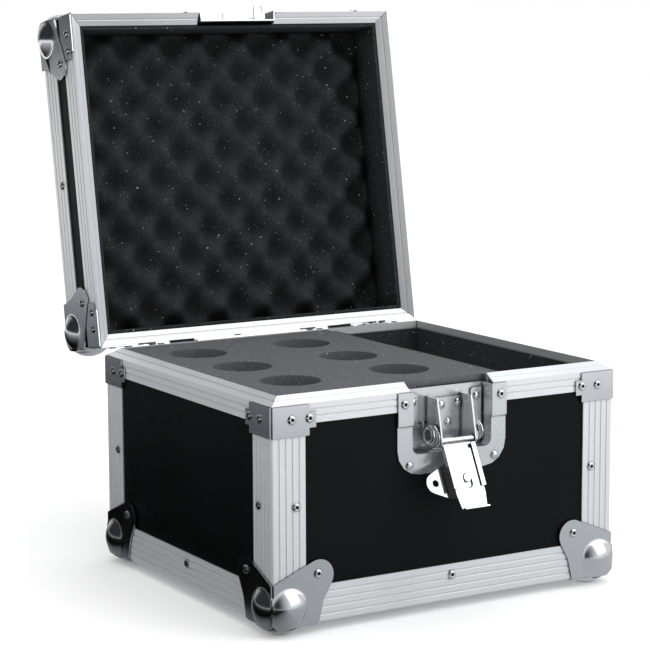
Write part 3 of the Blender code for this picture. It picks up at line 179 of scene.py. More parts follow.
# Foams
FOAM_MARGIN = 0.0104
FOAM_RIGHT = 0.0575
FOAM_TOP = RIM + 0.0050
FOAM_FLOOR = 0.0088 + FLOOR_LIFT
FOAM_NOTCH_HALF = 0.0405
FOAM_NOTCH_DEPTH = 0.0052
FOAM_SOFTENING = 0.0012
FOAM_SOFTENED_ANGLE = math.radians(40.0)
FOAM_SHARP_ANGLE = math.radians(50.0)
LINING_SOFTENED_ANGLE = math.radians(30.0)
WELL_RADIUS = 0.0250
WELL_DEPTH = 0.1500
WELL_FIRST_INSET = 0.0575
WELL_COLUMN_PITCH = 0.1040
WELL_ROW_PITCH = 0.0800
WELL_ROW_OFFSET = 0.0030
WELL_SIDES = 72
CRATE_INSET = 0.0137
CRATE_PITCH_X = 0.0465
CRATE_PITCH_Y = 0.0485
CRATE_ROW_SHIFT = -0.0015
CRATE_PEAK = 0.0250
CRATE_VALLEY = 0.0070
CRATE_CELL = 0.0016
LINING_THICKNESS = 0.0030
FELT_THICKNESS = 0.0010
FELT_DROP = 0.0010
LINING_LOW = RIM + 0.0070
LID_CEILING = LID_TOP - 0.0088

BLACK, WHITE = (0.0, 0.0, 0.0), (1.0, 1.0, 1.0)


def node_tree(name):
    """New material, its tree and its Principled shader."""
    material = bpy.data.materials.new(name + "_finish")
    material.use_nodes = True
    tree = material.node_tree
    return material, tree, tree.nodes["Principled BSDF"]


def noise_texture(tree, scale, detail=3.0, roughness=0.5):
    """Noise in object space."""
    place = tree.nodes.new("ShaderNodeTexCoord")
    noise = tree.nodes.new("ShaderNodeTexNoise")
    noise.inputs["Scale"].default_value = scale
    noise.inputs["Detail"].default_value = detail
    noise.inputs["Roughness"].default_value = roughness
    tree.links.new(place.outputs["Object"], noise.inputs["Vector"])
    return noise


def ramp(tree, source, low, high, dark, light):
    """Colour ramp between two tones over part of a texture's range."""
    node = tree.nodes.new("ShaderNodeValToRGB")
    node.color_ramp.elements[0].position = low
    node.color_ramp.elements[0].color = (*dark, 1.0)
    node.color_ramp.elements[1].position = high
    node.color_ramp.elements[1].color = (*light, 1.0)
    tree.links.new(source, node.inputs["Fac"])
    return node


def map_range(tree, source, low, high):
    """Value of a texture brought from 0 and 1 to two other ends."""
    node = tree.nodes.new("ShaderNodeMapRange")
    node.inputs["To Min"].default_value = low
    node.inputs["To Max"].default_value = high
    tree.links.new(source, node.inputs["Value"])
    return node


def bump(tree, shader, source, strength, distance):
    """Relief of a shader from a texture."""
    node = tree.nodes.new("ShaderNodeBump")
    node.inputs["Strength"].default_value = strength
    node.inputs["Distance"].default_value = distance
    tree.links.new(source, node.inputs["Height"])
    tree.links.new(node.outputs["Normal"], shader.inputs["Normal"])


def painted_shade_occlusion(tree, reach):
    """How open a point of the surface is, from 0 in a deep groove to 1, used to paint shade into grooves
    and hollows.
    """
    node = tree.nodes.new("ShaderNodeAmbientOcclusion")
    node.samples = 6
    node.inputs["Distance"].default_value = reach
    return node.outputs["AO"]


def multiply(tree, first, second):
    """One colour multiplied by another."""
    node = tree.nodes.new("ShaderNodeMix")
    node.data_type = "RGBA"
    node.blend_type = "MULTIPLY"
    node.inputs["Factor"].default_value = 1.0
    tree.links.new(first, node.inputs["A"])
    tree.links.new(second, node.inputs["B"])
    return node.outputs["Result"]


def laminate_material():
    """Black laminate: fine pebbled grain, faint handling marks."""
    material, tree, shader = node_tree("black_laminate")
    cloud = noise_texture(tree, 9.0, 4.0)
    tone = ramp(tree, cloud.outputs["Fac"], 0.3, 0.75,
                (0.0012, 0.0014, 0.0017), (0.0030, 0.0034, 0.0040))
    tree.links.new(tone.outputs["Color"], shader.inputs["Base Color"])
    marks = noise_texture(tree, 60.0, 5.0)
    rough = map_range(tree, marks.outputs["Fac"], 0.34, 0.50)
    tree.links.new(rough.outputs["Result"], shader.inputs["Roughness"])
    shader.inputs["Specular IOR Level"].default_value = 0.12
    grain = noise_texture(tree, 1500.0, 2.0)
    bump(tree, shader, grain.outputs["Fac"], 0.16, 0.0002)
    return material


def metal_material(name, colour, spread, roughness, roughness_spread, grain_scale, grain,
                   painted_groove_shade_reach=0.0, metallic=1.0):
    """Metal with slight clouding, uneven gloss, a fine grain and painted shade in its grooves."""
    material, tree, shader = node_tree(name)
    shader.inputs["Metallic"].default_value = metallic
    cloud = noise_texture(tree, 14.0, 4.0)
    dark = tuple(channel - spread for channel in colour)
    light = tuple(min(1.0, channel + spread) for channel in colour)
    tone = ramp(tree, cloud.outputs["Fac"], 0.3, 0.7, dark, light).outputs["Color"]
    if painted_groove_shade_reach:
        # Painted shade: ambient occlusion darkens the colour in grooves and bores
        shade = ramp(tree, painted_shade_occlusion(tree, painted_groove_shade_reach), 0.45, 0.92, (0.22, 0.23, 0.25), WHITE)
        tone = multiply(tree, tone, shade.outputs["Color"])
    tree.links.new(tone, shader.inputs["Base Color"])
    gloss = noise_texture(tree, 45.0, 5.0)
    rough = map_range(tree, gloss.outputs["Fac"],
                      roughness - roughness_spread, roughness + roughness_spread)
    tree.links.new(rough.outputs["Result"], shader.inputs["Roughness"])
    fine = noise_texture(tree, grain_scale, 2.0)
    bump(tree, shader, fine.outputs["Fac"], grain, 0.0001)
    return material


def foam_material(name, dark, light, speck, cell_scale, depth, painted_hollow_shade_reach):
    """Open-cell foam: speckled tone, painted shade in its hollows, pitted surface, and small bright
    specks.
    """
    material, tree, shader = node_tree(name)
    cells = noise_texture(tree, cell_scale, 3.0, roughness=0.7)
    tone = ramp(tree, cells.outputs["Fac"], 0.36, 0.62, dark, light)
    # Painted shade: ambient occlusion darkens the foam's hollows and valleys
    shade = ramp(tree, painted_shade_occlusion(tree, painted_hollow_shade_reach), 0.40, 0.95, (0.22, 0.22, 0.22), WHITE)
    # Small bright specks scattered at random over the foam
    bright_specks = noise_texture(tree, 420.0, 1.0)
    dots = ramp(tree, bright_specks.outputs["Fac"], 0.755, 0.78, BLACK, WHITE)
    mix = tree.nodes.new("ShaderNodeMix")
    mix.data_type = "RGBA"
    mix.inputs["B"].default_value = (*speck, 1.0)
    tree.links.new(dots.outputs["Color"], mix.inputs["Factor"])
    tree.links.new(multiply(tree, tone.outputs["Color"], shade.outputs["Color"]), mix.inputs["A"])
    tree.links.new(mix.outputs["Result"], shader.inputs["Base Color"])
    shader.inputs["Roughness"].default_value = 1.0
    shader.inputs["Specular IOR Level"].default_value = 0.08
    bump(tree, shader, cells.outputs["Fac"], 0.9, depth)
    return material


def rubber_material():
    """Moulded black plastic of the handle, with a fine spark-eroded grain."""
    material, tree, shader = node_tree("handle_rubber")
    cloud = noise_texture(tree, 25.0, 3.0)
    tone = ramp(tree, cloud.outputs["Fac"], 0.3, 0.7, (0.008, 0.008, 0.008), (0.016, 0.016, 0.016))
    tree.links.new(tone.outputs["Color"], shader.inputs["Base Color"])
    shader.inputs["Roughness"].default_value = 0.5
    grain = noise_texture(tree, 900.0, 2.0)
    bump(tree, shader, grain.outputs["Fac"], 0.35, 0.0002)
    return material


def make_materials():
    """Finishes by their slot, with the satin steel and the rivet eyes' painted shade that only the scene
    has.
    """
    return {
        "black_laminate": laminate_material(),
        # Each metal's groove reach sets how far painted shade darkens its grooves; the foams' last
        # argument does the same in their hollows
        "ribbed_aluminium": metal_material("ribbed_aluminium", (0.74, 0.75, 0.77), 0.02, 0.34, 0.04,
                                           700.0, 0.10, painted_groove_shade_reach=0.0018, metallic=0.6),
        "plated_steel": metal_material("plated_steel", (0.72, 0.73, 0.75), 0.02, 0.17, 0.02,
                                       260.0, 0.01, painted_groove_shade_reach=0.0014),
        "bright_steel": metal_material("bright_steel", (0.74, 0.75, 0.76), 0.02, 0.15, 0.02,
                                       300.0, 0.01, painted_groove_shade_reach=0.0020),
        "satin_steel": metal_material("satin_steel", (0.70, 0.71, 0.73), 0.02, 0.27, 0.02,
                                      260.0, 0.01, painted_groove_shade_reach=0.0040, metallic=0.92),
        "spring_wire": metal_material("spring_wire", (0.78, 0.78, 0.78), 0.03, 0.16, 0.03, 300.0, 0.04),
        # Dark steel of the rivet eyes: painted shade in their hollow
        "painted_shade_rivet_eye": metal_material("painted_shade_rivet_eye", (0.045, 0.045, 0.047), 0.02, 0.45, 0.05, 300.0, 0.05),
        "grey_foam": foam_material("grey_foam", (0.070, 0.074, 0.079), (0.145, 0.152, 0.160),
                                   (0.60, 0.60, 0.61), 1100.0, 0.0006, 0.0060),
        "black_foam": foam_material("black_foam", (0.012, 0.0126, 0.0136), (0.042, 0.044, 0.046),
                                    (0.45, 0.46, 0.47), 900.0, 0.0007, 0.0200),
        "handle_rubber": rubber_material(),
    }


MATERIALS = make_materials()
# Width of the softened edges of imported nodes, by slot
SOFTENED = {
    "ribbed_aluminium": 0.00012,
    "bright_steel": 0.00018,
    "plated_steel": 0.00018,
    "black_laminate": 0.0003,
    "handle_rubber": 0.0014,
}
# Nodes with a duller finish than the rest of their slot
DULLED = {"latch_dish": "satin_steel", "latch_bracket": "satin_steel", "keeper_dish": "satin_steel"}


def soften_edges(piece, width, segments, angle):
    """Bevel modifier on the edges that are sharper than an angle."""
    soften = piece.modifiers.new("softening", "BEVEL")
    soften.width = width
    soften.segments = segments
    soften.limit_method = "ANGLE"
    soften.angle_limit = angle


def dress_nodes():
    """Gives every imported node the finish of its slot, and breaks its sharp edges a little."""
    slots = {row["node"]: row["material_slot"] for row in RECORD["subparts"]}
    for name, node in frame["nodes"].items():
        node.data.materials.clear()
        node.data.materials.append(MATERIALS[DULLED.get(name, slots[name])])
        if slots[name] in SOFTENED:
            soften_edges(node, SOFTENED[slots[name]], 2, SOFTENED_ANGLE)


def new_piece(name, shape, slot, body, place=None):
    """Piece from a bmesh in the finish of a slot, put in place and riding on a body."""
    bmesh.ops.recalc_face_normals(shape, faces=shape.faces)
    if place is not None:
        shape.transform(place)
    mesh = bpy.data.meshes.new(name)
    shape.to_mesh(mesh)
    shape.free()
    mesh.materials.append(MATERIALS[slot])
    mesh.shade_smooth()
    mesh.set_sharp_from_angle(angle=SHARP_ANGLE)
    piece = bpy.data.objects.new(name, mesh)
    bpy.context.collection.objects.link(piece)
    if body:
        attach(piece, body)
    return piece


def apply_booleans(piece, operands):
    """Applies (operand, operation) pairs to a piece, and removes the operands."""
    for operand, operation in operands:
        modifier = piece.modifiers.new(operand.name, "BOOLEAN")
        modifier.object = operand
        modifier.operation = operation
        modifier.solver = "MANIFOLD"
    bpy.context.view_layer.update()
    evaluated = piece.evaluated_get(bpy.context.evaluated_depsgraph_get())
    finished = bpy.data.meshes.new_from_object(evaluated)
    piece.modifiers.clear()
    piece.data = finished
    for operand, _ in operands:
        bpy.data.objects.remove(operand, do_unlink=True)


def rounded(corners, steps=10):
    """Outline from (a, b, radius) corners, each turned into an arc of its radius."""
    outline = []
    count = len(corners)
    for index, (a, b, radius) in enumerate(corners):
        here = Vector((a, b))
        if radius == 0.0:
            outline.append((a, b))
            continue
        before = Vector(corners[index - 1][:2]) - here
        after = Vector(corners[(index + 1) % count][:2]) - here
        half = before.angle(after) / 2.0
        before.normalize()
        after.normalize()
        reach = radius / math.tan(half)
        centre = here + (before + after).normalized() * (radius / math.sin(half))
        first = here + before * reach - centre
        last = here + after * reach - centre
        sweep = first.angle(last)
        spin = 1.0 if first.x * last.y - first.y * last.x > 0.0 else -1.0
        base = math.atan2(first.y, first.x)
        for step in range(steps + 1):
            angle = base + spin * sweep * step / steps
            outline.append((centre.x + radius * math.cos(angle), centre.y + radius * math.sin(angle)))
    return outline


def prism(outline, plane, low, high, softening=0.0):
    """Closed prism of an outline in a plane such as "xz", with its low end's rim softened."""
    axes = {"x": 0, "y": 1, "z": 2}
    first, second = axes[plane[0]], axes[plane[1]]
    third = 3 - first - second
    shape = bmesh.new()
    rings = []
    for level in (low, high):
        ring = []
        for a, b in outline:
            spot = [0.0, 0.0, 0.0]
            spot[first], spot[second], spot[third] = a, b, level
            ring.append(shape.verts.new(spot))
        rings.append(ring)
    count = len(outline)
    for index in range(count):
        follower = (index + 1) % count
        shape.faces.new((rings[0][index], rings[0][follower], rings[1][follower], rings[1][index]))
    face = shape.faces.new(rings[0])
    shape.faces.new(list(reversed(rings[1])))
    if softening:
        bmesh.ops.bevel(shape, geom=list(face.edges), offset=softening, segments=2, affect="EDGES",
                        clamp_overlap=True)
        bmesh.ops.remove_doubles(shape, verts=shape.verts, dist=MERGE_DISTANCE)
    return shape


def lathe(profile, sides):
    """Closed turned shape about Z from (radius, height) points that start and end at radius 0."""
    shape = bmesh.new()
    rings = []
    for radius, height in profile:
        if radius == 0.0:
            rings.append([shape.verts.new((0.0, 0.0, height))])
            continue
        turn = 2.0 * math.pi / sides
        rings.append([shape.verts.new((radius * math.cos(turn * step), radius * math.sin(turn * step),
                                       height)) for step in range(sides)])
    for lower, upper in zip(rings, rings[1:]):
        for step in range(sides):
            follower = (step + 1) % sides
            if len(lower) == 1:
                shape.faces.new((lower[0], upper[follower], upper[step]))
            elif len(upper) == 1:
                shape.faces.new((lower[step], lower[follower], upper[0]))
            else:
                shape.faces.new((lower[step], lower[follower], upper[follower], upper[step]))
    return shape


CORNERS = {
    "front_left": (0.0, -1.0, -1.0),
    "front_right": (math.pi / 2.0, 1.0, -1.0),
    "back_right": (math.pi, 1.0, 1.0),
    "back_left": (-math.pi / 2.0, -1.0, 1.0),
}


def corner_place(corner, height, on_lid):
    """Place of a corner's pieces, at a height, turned to face out of that corner."""
    turn, along_x, along_y = CORNERS[corner]
    spot = Vector((along_x * CASE_HALF_WIDTH, along_y * CASE_HALF_DEPTH, height))
    place = Matrix.Translation(spot) @ Matrix.Rotation(turn, 4, "Z")
    return LID_OPEN @ place if on_lid else place


def lobe_arc(centre, before, after):
    """Arc of a plate's lobe, clockwise between its tangents to the points on either side."""
    angles = []
    for (a, b), turn in ((before, -1.0), (after, 1.0)):
        da, db = a - centre[0], b - centre[1]
        angles.append(math.atan2(db, da) + turn * math.acos(FAN_LOBE_RADIUS / math.hypot(da, db)))
    start, end = angles
    if start < end:
        start += 2.0 * math.pi
    arc = []
    for step in range(LOBE_STEPS + 1):
        angle = start + (end - start) * step / LOBE_STEPS
        arc.append((centre[0] + FAN_LOBE_RADIUS * math.cos(angle),
                    centre[1] + FAN_LOBE_RADIUS * math.sin(angle), 0.0))
    return arc


def corner_cut(proud):
    """Ends of the straight cut across a plate's corner, under the ball, past the bends."""
    far = FAN_CORNER_CUT - proud + BEND_OVERHANG
    return [(far, -BEND_OVERHANG, 0.0), (-BEND_OVERHANG, far, 0.0)]


def fan_outline(proud):
    """Upright plate of a ball corner: a round lobe, a straight flank and a waisted one."""
    lobe = (FAN_LOBE_ALONG, FAN_LOBE_RISE)
    edge = (-BEND_OVERHANG, FAN_EDGE)
    waist = (FAN_WAIST_ALONG, FAN_WAIST_RISE)
    return rounded([(*edge, 0.0)] + lobe_arc(lobe, edge, waist)
                   + [(*waist, FAN_WAIST_ROUND), (FAN_FOOT, -proud, 0.0), (FAN_FOOT, -BEND_OVERHANG, 0.0)]
                   + corner_cut(proud))


def flat_fan_outline(proud):
    """Plate of a ball corner on the underside or the top, waisted alike on both flanks."""
    lobe = (FAN_LOBE_ALONG, FAN_LOBE_ALONG)
    first, second = (FAN_WAIST_RISE, FAN_WAIST_ALONG), (FAN_WAIST_ALONG, FAN_WAIST_RISE)
    return rounded([(-BEND_OVERHANG, FAN_FOOT, 0.0), (-proud, FAN_FOOT, 0.0), (*first, FAN_WAIST_ROUND)]
                   + lobe_arc(lobe, first, second)
                   + [(*second, FAN_WAIST_ROUND), (FAN_FOOT, -proud, 0.0), (FAN_FOOT, -BEND_OVERHANG, 0.0)]
                   + corner_cut(proud))


def hollow_shape(up):
    """The case's own corner, clipped, which hollows a ball corner."""
    far = FAN_LOBE_ALONG + FAN_LOBE_RADIUS + BALL_INSET
    shape = bmesh.new()
    near = -GAP
    spots = []
    for x in (near, far):
        for y in (near, far):
            for z in (near, far):
                if (x, y, z) != (near, near, near):
                    spots.append((x, y, up * z))
    for x, y, z in ((HOLLOW_CLIP, near, near), (near, HOLLOW_CLIP, near), (near, near, HOLLOW_CLIP)):
        spots.append((x, y, up * z))
    bmesh.ops.convex_hull(shape, input=[shape.verts.new(spot) for spot in spots])
    return shape


def brace_shape(low, high, proud, inner=-GAP):
    """Plate bent round an upright corner, with rounded far corners and softened edges."""
    outline = [(BRACE_LENGTH, -proud), (-proud, -proud), (-proud, BRACE_LENGTH), (inner, BRACE_LENGTH),
               (inner, inner), (BRACE_LENGTH, inner)]
    shape = prism(outline, "xy", low, high)
    far = [edge for edge in shape.edges
           if edge.calc_length() < SHEET * 2.0
           and max(max(vert.co.x, vert.co.y) for vert in edge.verts) > BRACE_LENGTH - GAP]
    bmesh.ops.bevel(shape, geom=far, offset=BRACE_ROUND, segments=BRACE_ROUND_SEGMENTS, affect="EDGES")
    bend = [edge for edge in shape.edges
            if all(vert.co.x < -proud + GAP and vert.co.y < -proud + GAP for vert in edge.verts)]
    bmesh.ops.bevel(shape, geom=bend, offset=BEND_ROUND, segments=BEND_SEGMENTS, affect="EDGES")
    outer = [edge for edge in shape.edges
             if edge.is_convex and edge.calc_face_angle(0.0) > BRACE_EDGE_ANGLE
             and all(min(vert.co.x, vert.co.y) < -GAP * 2.0 for vert in edge.verts)]
    bmesh.ops.bevel(shape, geom=outer, offset=EDGE_SOFTENING, segments=2, affect="EDGES",
                    clamp_overlap=True)
    return shape


def bent_box(proud, up):
    """Box whose three edges at the corner are rounded as bent sheet is."""
    far = FAN_LOBE_ALONG + FAN_LOBE_RADIUS + BALL_INSET
    shape = bmesh.new()
    bmesh.ops.create_cube(shape, size=1.0)
    for vert in shape.verts:
        vert.co = Vector([far if value > 0.0 else -proud - BEND_CLEARANCE for value in vert.co])
    near = [edge for edge in shape.edges
            if sum(all(vert.co[axis] < 0.0 for vert in edge.verts) for axis in range(3)) == 2]
    bmesh.ops.bevel(shape, geom=near, offset=BEND_ROUND, segments=BEND_SEGMENTS, affect="EDGES")
    for vert in shape.verts:
        vert.co.z *= up
    return shape


def ball_shape(up):
    """The ball, whose middle lies inside the case's corner."""
    shape = bmesh.new()
    bmesh.ops.create_uvsphere(shape, u_segments=BALL_SEGMENTS, v_segments=BALL_SEGMENTS // 2,
                              radius=BALL_RADIUS)
    bmesh.ops.translate(shape, verts=shape.verts, vec=(BALL_INSET, BALL_INSET, up * BALL_INSET))
    return shape


def ball_frame(axis, up):
    """Directions at the ball: along an edge of the case, out of it, and across both."""
    along = Vector([1.0 if index == axis else 0.0 for index in range(3)])
    out = (along - Vector((1.0, 1.0, 1.0))).normalized()
    along.z *= up
    out.z *= up
    return along, out, along.cross(out)


def fillet_shape(axis, proud, up):
    """Ring that blends the ball into the plate that faces an axis."""
    depth = BALL_INSET + proud
    centre = math.sqrt((BALL_RADIUS + BALL_FILLET) ** 2 - (depth + BALL_FILLET) ** 2)
    first = math.atan2(depth + BALL_FILLET, centre)
    profile = [(0.0, -depth / 2.0), (centre, -depth / 2.0 + SHEET)]
    for step in range(FILLET_STEPS + 1):
        angle = -math.pi / 2.0 - (math.pi / 2.0 - first) * step / FILLET_STEPS
        profile.append((centre + BALL_FILLET * math.cos(angle),
                        BALL_FILLET + BALL_FILLET * math.sin(angle)))
    profile.append((0.0, profile[-1][1] - SHEET))
    ring = lathe(profile, BALL_SEGMENTS)
    along = Vector([-1.0 if index == axis else 0.0 for index in range(3)])
    along.z *= up
    turn = along.to_track_quat("Z", "Y").to_matrix().to_4x4()
    spot = Vector((BALL_INSET, BALL_INSET, up * BALL_INSET)) + along * depth
    ring.transform(Matrix.Translation(spot) @ turn)
    for other in range(3):
        if other != axis:
            out = Vector([-1.0 if index == other else 0.0 for index in range(3)])
            out.z *= up
            bmesh.ops.bisect_plane(ring, geom=ring.verts[:] + ring.edges[:] + ring.faces[:],
                                   plane_co=out * proud, plane_no=out, clear_outer=True)
            bmesh.ops.holes_fill(ring, edges=[edge for edge in ring.edges if edge.is_boundary])
    return ring


def seam_shape(axis, up):
    """Blade that cuts one of the ball's seams: a slit at the bend, a hairline towards the pole."""
    along, out, across = ball_frame(axis, up)
    middle = Vector((BALL_INSET, BALL_INSET, up * BALL_INSET))
    shape = bmesh.new()
    rings = []
    for step in range(SEAM_STEPS + 1):
        angle = SEAM_START + (SEAM_END - SEAM_START) * step / SEAM_STEPS
        share = max(0.0, (angle - SEAM_NARROW) / (SEAM_START - SEAM_NARROW))
        half = SEAM_HALF_WIDTH + (SLIT_HALF_WIDTH - SEAM_HALF_WIDTH) * share
        ray = out * math.cos(angle) + along * math.sin(angle)
        deep = SEAM_DEPTH * (1.0 + 2.0 * share)
        rings.append([shape.verts.new(middle + ray * radius + across * side)
                      for radius, side in ((BALL_RADIUS - deep, -half), (BALL_RADIUS + SHEET, -half),
                                           (BALL_RADIUS + SHEET, half), (BALL_RADIUS - deep, half))])
    for lower, upper in zip(rings, rings[1:]):
        for index in range(4):
            follower = (index + 1) % 4
            shape.faces.new((lower[index], lower[follower], upper[follower], upper[index]))
    shape.faces.new(rings[0])
    shape.faces.new(rings[-1])
    return shape


def ball_corner_mesh(name, up, proud, with_brace):
    """Ball corner: three plates bent round the corner, ball, fillets, seams and the hollow."""
    vertical = [(a, up * b) for a, b in fan_outline(proud)]
    flat_low, flat_high = (-proud, SHEET) if up > 0.0 else (proud, -SHEET)
    part = new_piece(name, prism(vertical, "xz", -proud, SHEET, EDGE_SOFTENING), "plated_steel", None)
    operands = [
        (prism(vertical, "yz", -proud, SHEET, EDGE_SOFTENING), "UNION"),
        (prism(flat_fan_outline(proud), "xy", flat_low, flat_high, EDGE_SOFTENING), "UNION"),
        (bent_box(proud, up), "INTERSECT"),
        (ball_shape(up), "UNION"),
    ]
    operands += [(fillet_shape(axis, proud, up), "UNION") for axis in range(3)]
    if with_brace:
        low = RIM - LID_TOP + PARTING_GAP + BRACE_DROP
        operands.append((brace_shape(low, low + BRACE_HEIGHT, PLATE_PROUD, GAP), "UNION"))
    operands.append((hollow_shape(up), "DIFFERENCE"))
    operands += [(seam_shape(axis, up), "DIFFERENCE") for axis in range(3)]
    apply_booleans(part, [(new_piece(f"{name}_form_{index}", shape, "plated_steel", None), operation)
                          for index, (shape, operation) in enumerate(operands)])
    mesh = part.data
    mesh.shade_smooth()
    mesh.set_sharp_from_angle(angle=CORNER_SHARP_ANGLE)
    bpy.data.objects.remove(part, do_unlink=True)
    return mesh


def make_corners():
    """Ball corners of base and lid, and the base's rim braces, each in place of its node."""
    base_mesh = ball_corner_mesh("ball_corner_form", 1.0, PLATE_PROUD, False)
    lid_mesh = ball_corner_mesh("lid_corner_form", -1.0, PLATE_PROUD + LID_FAN_STEP, True)
    for corner in CORNERS:
        for name, node, mesh, height, body in (
                (f"ball_{corner}", f"ball_corner_{corner}", base_mesh, FLOOR_LIFT, "base"),
                (f"lid_ball_{corner}", f"lid_corner_{corner}", lid_mesh, LID_TOP, "lid")):
            own_mesh = mesh.copy()
            own_mesh.transform(corner_place(corner, height, body == "lid"))
            piece = bpy.data.objects.new(name, own_mesh)
            bpy.context.collection.objects.link(piece)
            piece.modifiers.new("even_normals", "WEIGHTED_NORMAL").keep_sharp = True
            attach(piece, body)
            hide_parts(node)
        top = RIM - BRACE_DROP
        brace = new_piece(f"brace_{corner}", brace_shape(top - BRACE_HEIGHT, top, PLATE_PROUD),
                          "plated_steel", "base", place=corner_place(corner, 0.0, False))
        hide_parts(f"rim_brace_{corner}")


def rivet_shape():
    """Pop rivet's domed head with its open eye, sunk a little into what it holds."""
    shape = lathe([
        (0.0, -GAP),
        (RIVET_RADIUS, -GAP),
        (RIVET_RADIUS, RIVET_HEIGHT * 0.15),
        (RIVET_RADIUS * 0.93, RIVET_HEIGHT * 0.50),
        (RIVET_RADIUS * 0.80, RIVET_HEIGHT * 0.80),
        (RIVET_RADIUS * 0.62, RIVET_HEIGHT * 0.97),
        (RIVET_RADIUS * 0.52, RIVET_HEIGHT),
        (RIVET_EYE_RADIUS * 1.05, RIVET_HEIGHT * 0.88),
        (RIVET_EYE_RADIUS, RIVET_HEIGHT * 0.60),
        (RIVET_EYE_RADIUS * 0.95, RIVET_HEIGHT * 0.10),
        (0.0, RIVET_HEIGHT * 0.05),
    ], RIVET_SIDES)
    # Faces inside the eye take the second material, dark steel as painted shade in the hollow
    for face in shape.faces:
        if max(math.hypot(vert.co.x, vert.co.y) for vert in face.verts) < RIVET_EYE_RADIUS * 1.01 \
                and min(vert.co.z for vert in face.verts) > 0.0:
            face.material_index = 1
    return shape


def domed_shape():
    """Solid rivet's plain domed head."""
    return lathe([
        (0.0, -GAP),
        (DOME_RADIUS, -GAP),
        (DOME_RADIUS, DOME_HEIGHT * 0.10),
        (DOME_RADIUS * 0.94, DOME_HEIGHT * 0.42),
        (DOME_RADIUS * 0.78, DOME_HEIGHT * 0.72),
        (DOME_RADIUS * 0.52, DOME_HEIGHT * 0.92),
        (DOME_RADIUS * 0.22, DOME_HEIGHT),
        (0.0, DOME_HEIGHT),
    ], RIVET_SIDES)


SIDE_TURNS = {"front": 0.0, "right": math.pi / 2.0, "back": math.pi, "left": -math.pi / 2.0}
SIDE_DISTANCES = {"front": CASE_HALF_DEPTH, "right": CASE_HALF_WIDTH, "back": CASE_HALF_DEPTH,
                  "left": CASE_HALF_WIDTH}


def on_side(side, along, height, proud):
    """Place of a rivet on a side: along it from its middle, at a height, proud of its face."""
    facing = Matrix.Rotation(math.pi / 2.0, 4, "X")
    spot = Matrix.Translation((along, -SIDE_DISTANCES[side] - proud, height))
    return Matrix.Rotation(SIDE_TURNS[side], 4, "Z") @ spot @ facing


def on_flat(x, y, height, up):
    """Place of a rivet on the top or the underside."""
    facing = Matrix.Identity(4) if up > 0.0 else Matrix.Rotation(math.pi, 4, "X")
    return Matrix.Translation((x, y, height)) @ facing


def side_half(side):
    """Half the length of a side."""
    return CASE_HALF_WIDTH if side in ("front", "back") else CASE_HALF_DEPTH


def base_rivet_places():
    """Pop rivets of the base: ball corners, posts, braces, edges, latch dish and hinge leaves."""
    places = []
    for side in SIDE_TURNS:
        half = side_half(side)
        for end in (-1.0, 1.0):
            places.append(on_side(side, end * (half - FAN_RIVET), FAN_RIVET + FLOOR_LIFT, PLATE_PROUD))
            places.append(on_side(side, end * (half - POST_RIVET_INSET), POST_RIVET_HEIGHT, 0.0))
            for inset in BRACE_RIVET_INSETS:
                places.append(on_side(side, end * (half - inset), BRACE_RIVET_HEIGHT, PLATE_PROUD))
        places.append(on_side(side, LATCH_OFFSET, EDGE_RIVET_HEIGHT, 0.0))
    for _, along_x, along_y in CORNERS.values():
        places.append(on_flat(along_x * (CASE_HALF_WIDTH - FAN_RIVET),
                              along_y * (CASE_HALF_DEPTH - FAN_RIVET), FLOOR_LIFT - PLATE_PROUD, -1.0))
    along, height = DISH_UPPER_RIVET
    for end in (-1.0, 1.0):
        places.append(on_side("front", LATCH_OFFSET + end * along, height, PLATE_PROUD))
    return places + hinge_rivet_places(-1.0)


def hinge_rivet_places(up):
    """Four rivets on each hinge leaf, above or below the rim."""
    return [on_side("back", side * HINGE_OFFSET + end * HINGE_RIVET_ALONG, RIM + up * height, HINGE_PROUD)
            for side in (-1.0, 1.0) for end in (-1.0, 1.0) for height in HINGE_RIVET_HEIGHTS]


def handle_screw_places():
    """Two screws in each foot of the handle."""
    return [on_flat(end * x, 0.0, HANDLE_TOP, 1.0) for end in (-1.0, 1.0) for x in HANDLE_SCREWS]


def latch_rivet_places():
    """Solid rivets: low on the latch dish, and on the bracket in it."""
    along, level = DISH_LOWER_RIVET
    places = [on_side("front", LATCH_OFFSET + end * along, level, 0.0) for end in (-1.0, 1.0)]
    for x, height in BRACKET_RIVETS:
        places.append(on_side("front", x, height + FLOOR_LIFT, BRACKET_FACE - CASE_HALF_DEPTH))
    return places


def lid_rivet_places():
    """Pop rivets of the lid as it lies shut: corners, braces, edges and hinge leaves."""
    proud = PLATE_PROUD + LID_FAN_STEP
    places = []
    for side in SIDE_TURNS:
        half = side_half(side)
        for end in (-1.0, 1.0):
            places.append(on_side(side, end * (half - FAN_RIVET), LID_TOP - FAN_RIVET, proud))
            for inset in LID_BRACE_RIVET_INSETS:
                places.append(on_side(side, end * (half - inset), RIM + LID_BRACE_RIVET_RISE, PLATE_PROUD))
        places.append(on_side(side, 0.0, LID_TOP - LID_EDGE_RIVET_DROP, 0.0))
    for _, along_x, along_y in CORNERS.values():
        places.append(on_flat(along_x * (CASE_HALF_WIDTH - FAN_RIVET),
                              along_y * (CASE_HALF_DEPTH - FAN_RIVET), LID_TOP + proud, 1.0))
    return places + hinge_rivet_places(1.0)


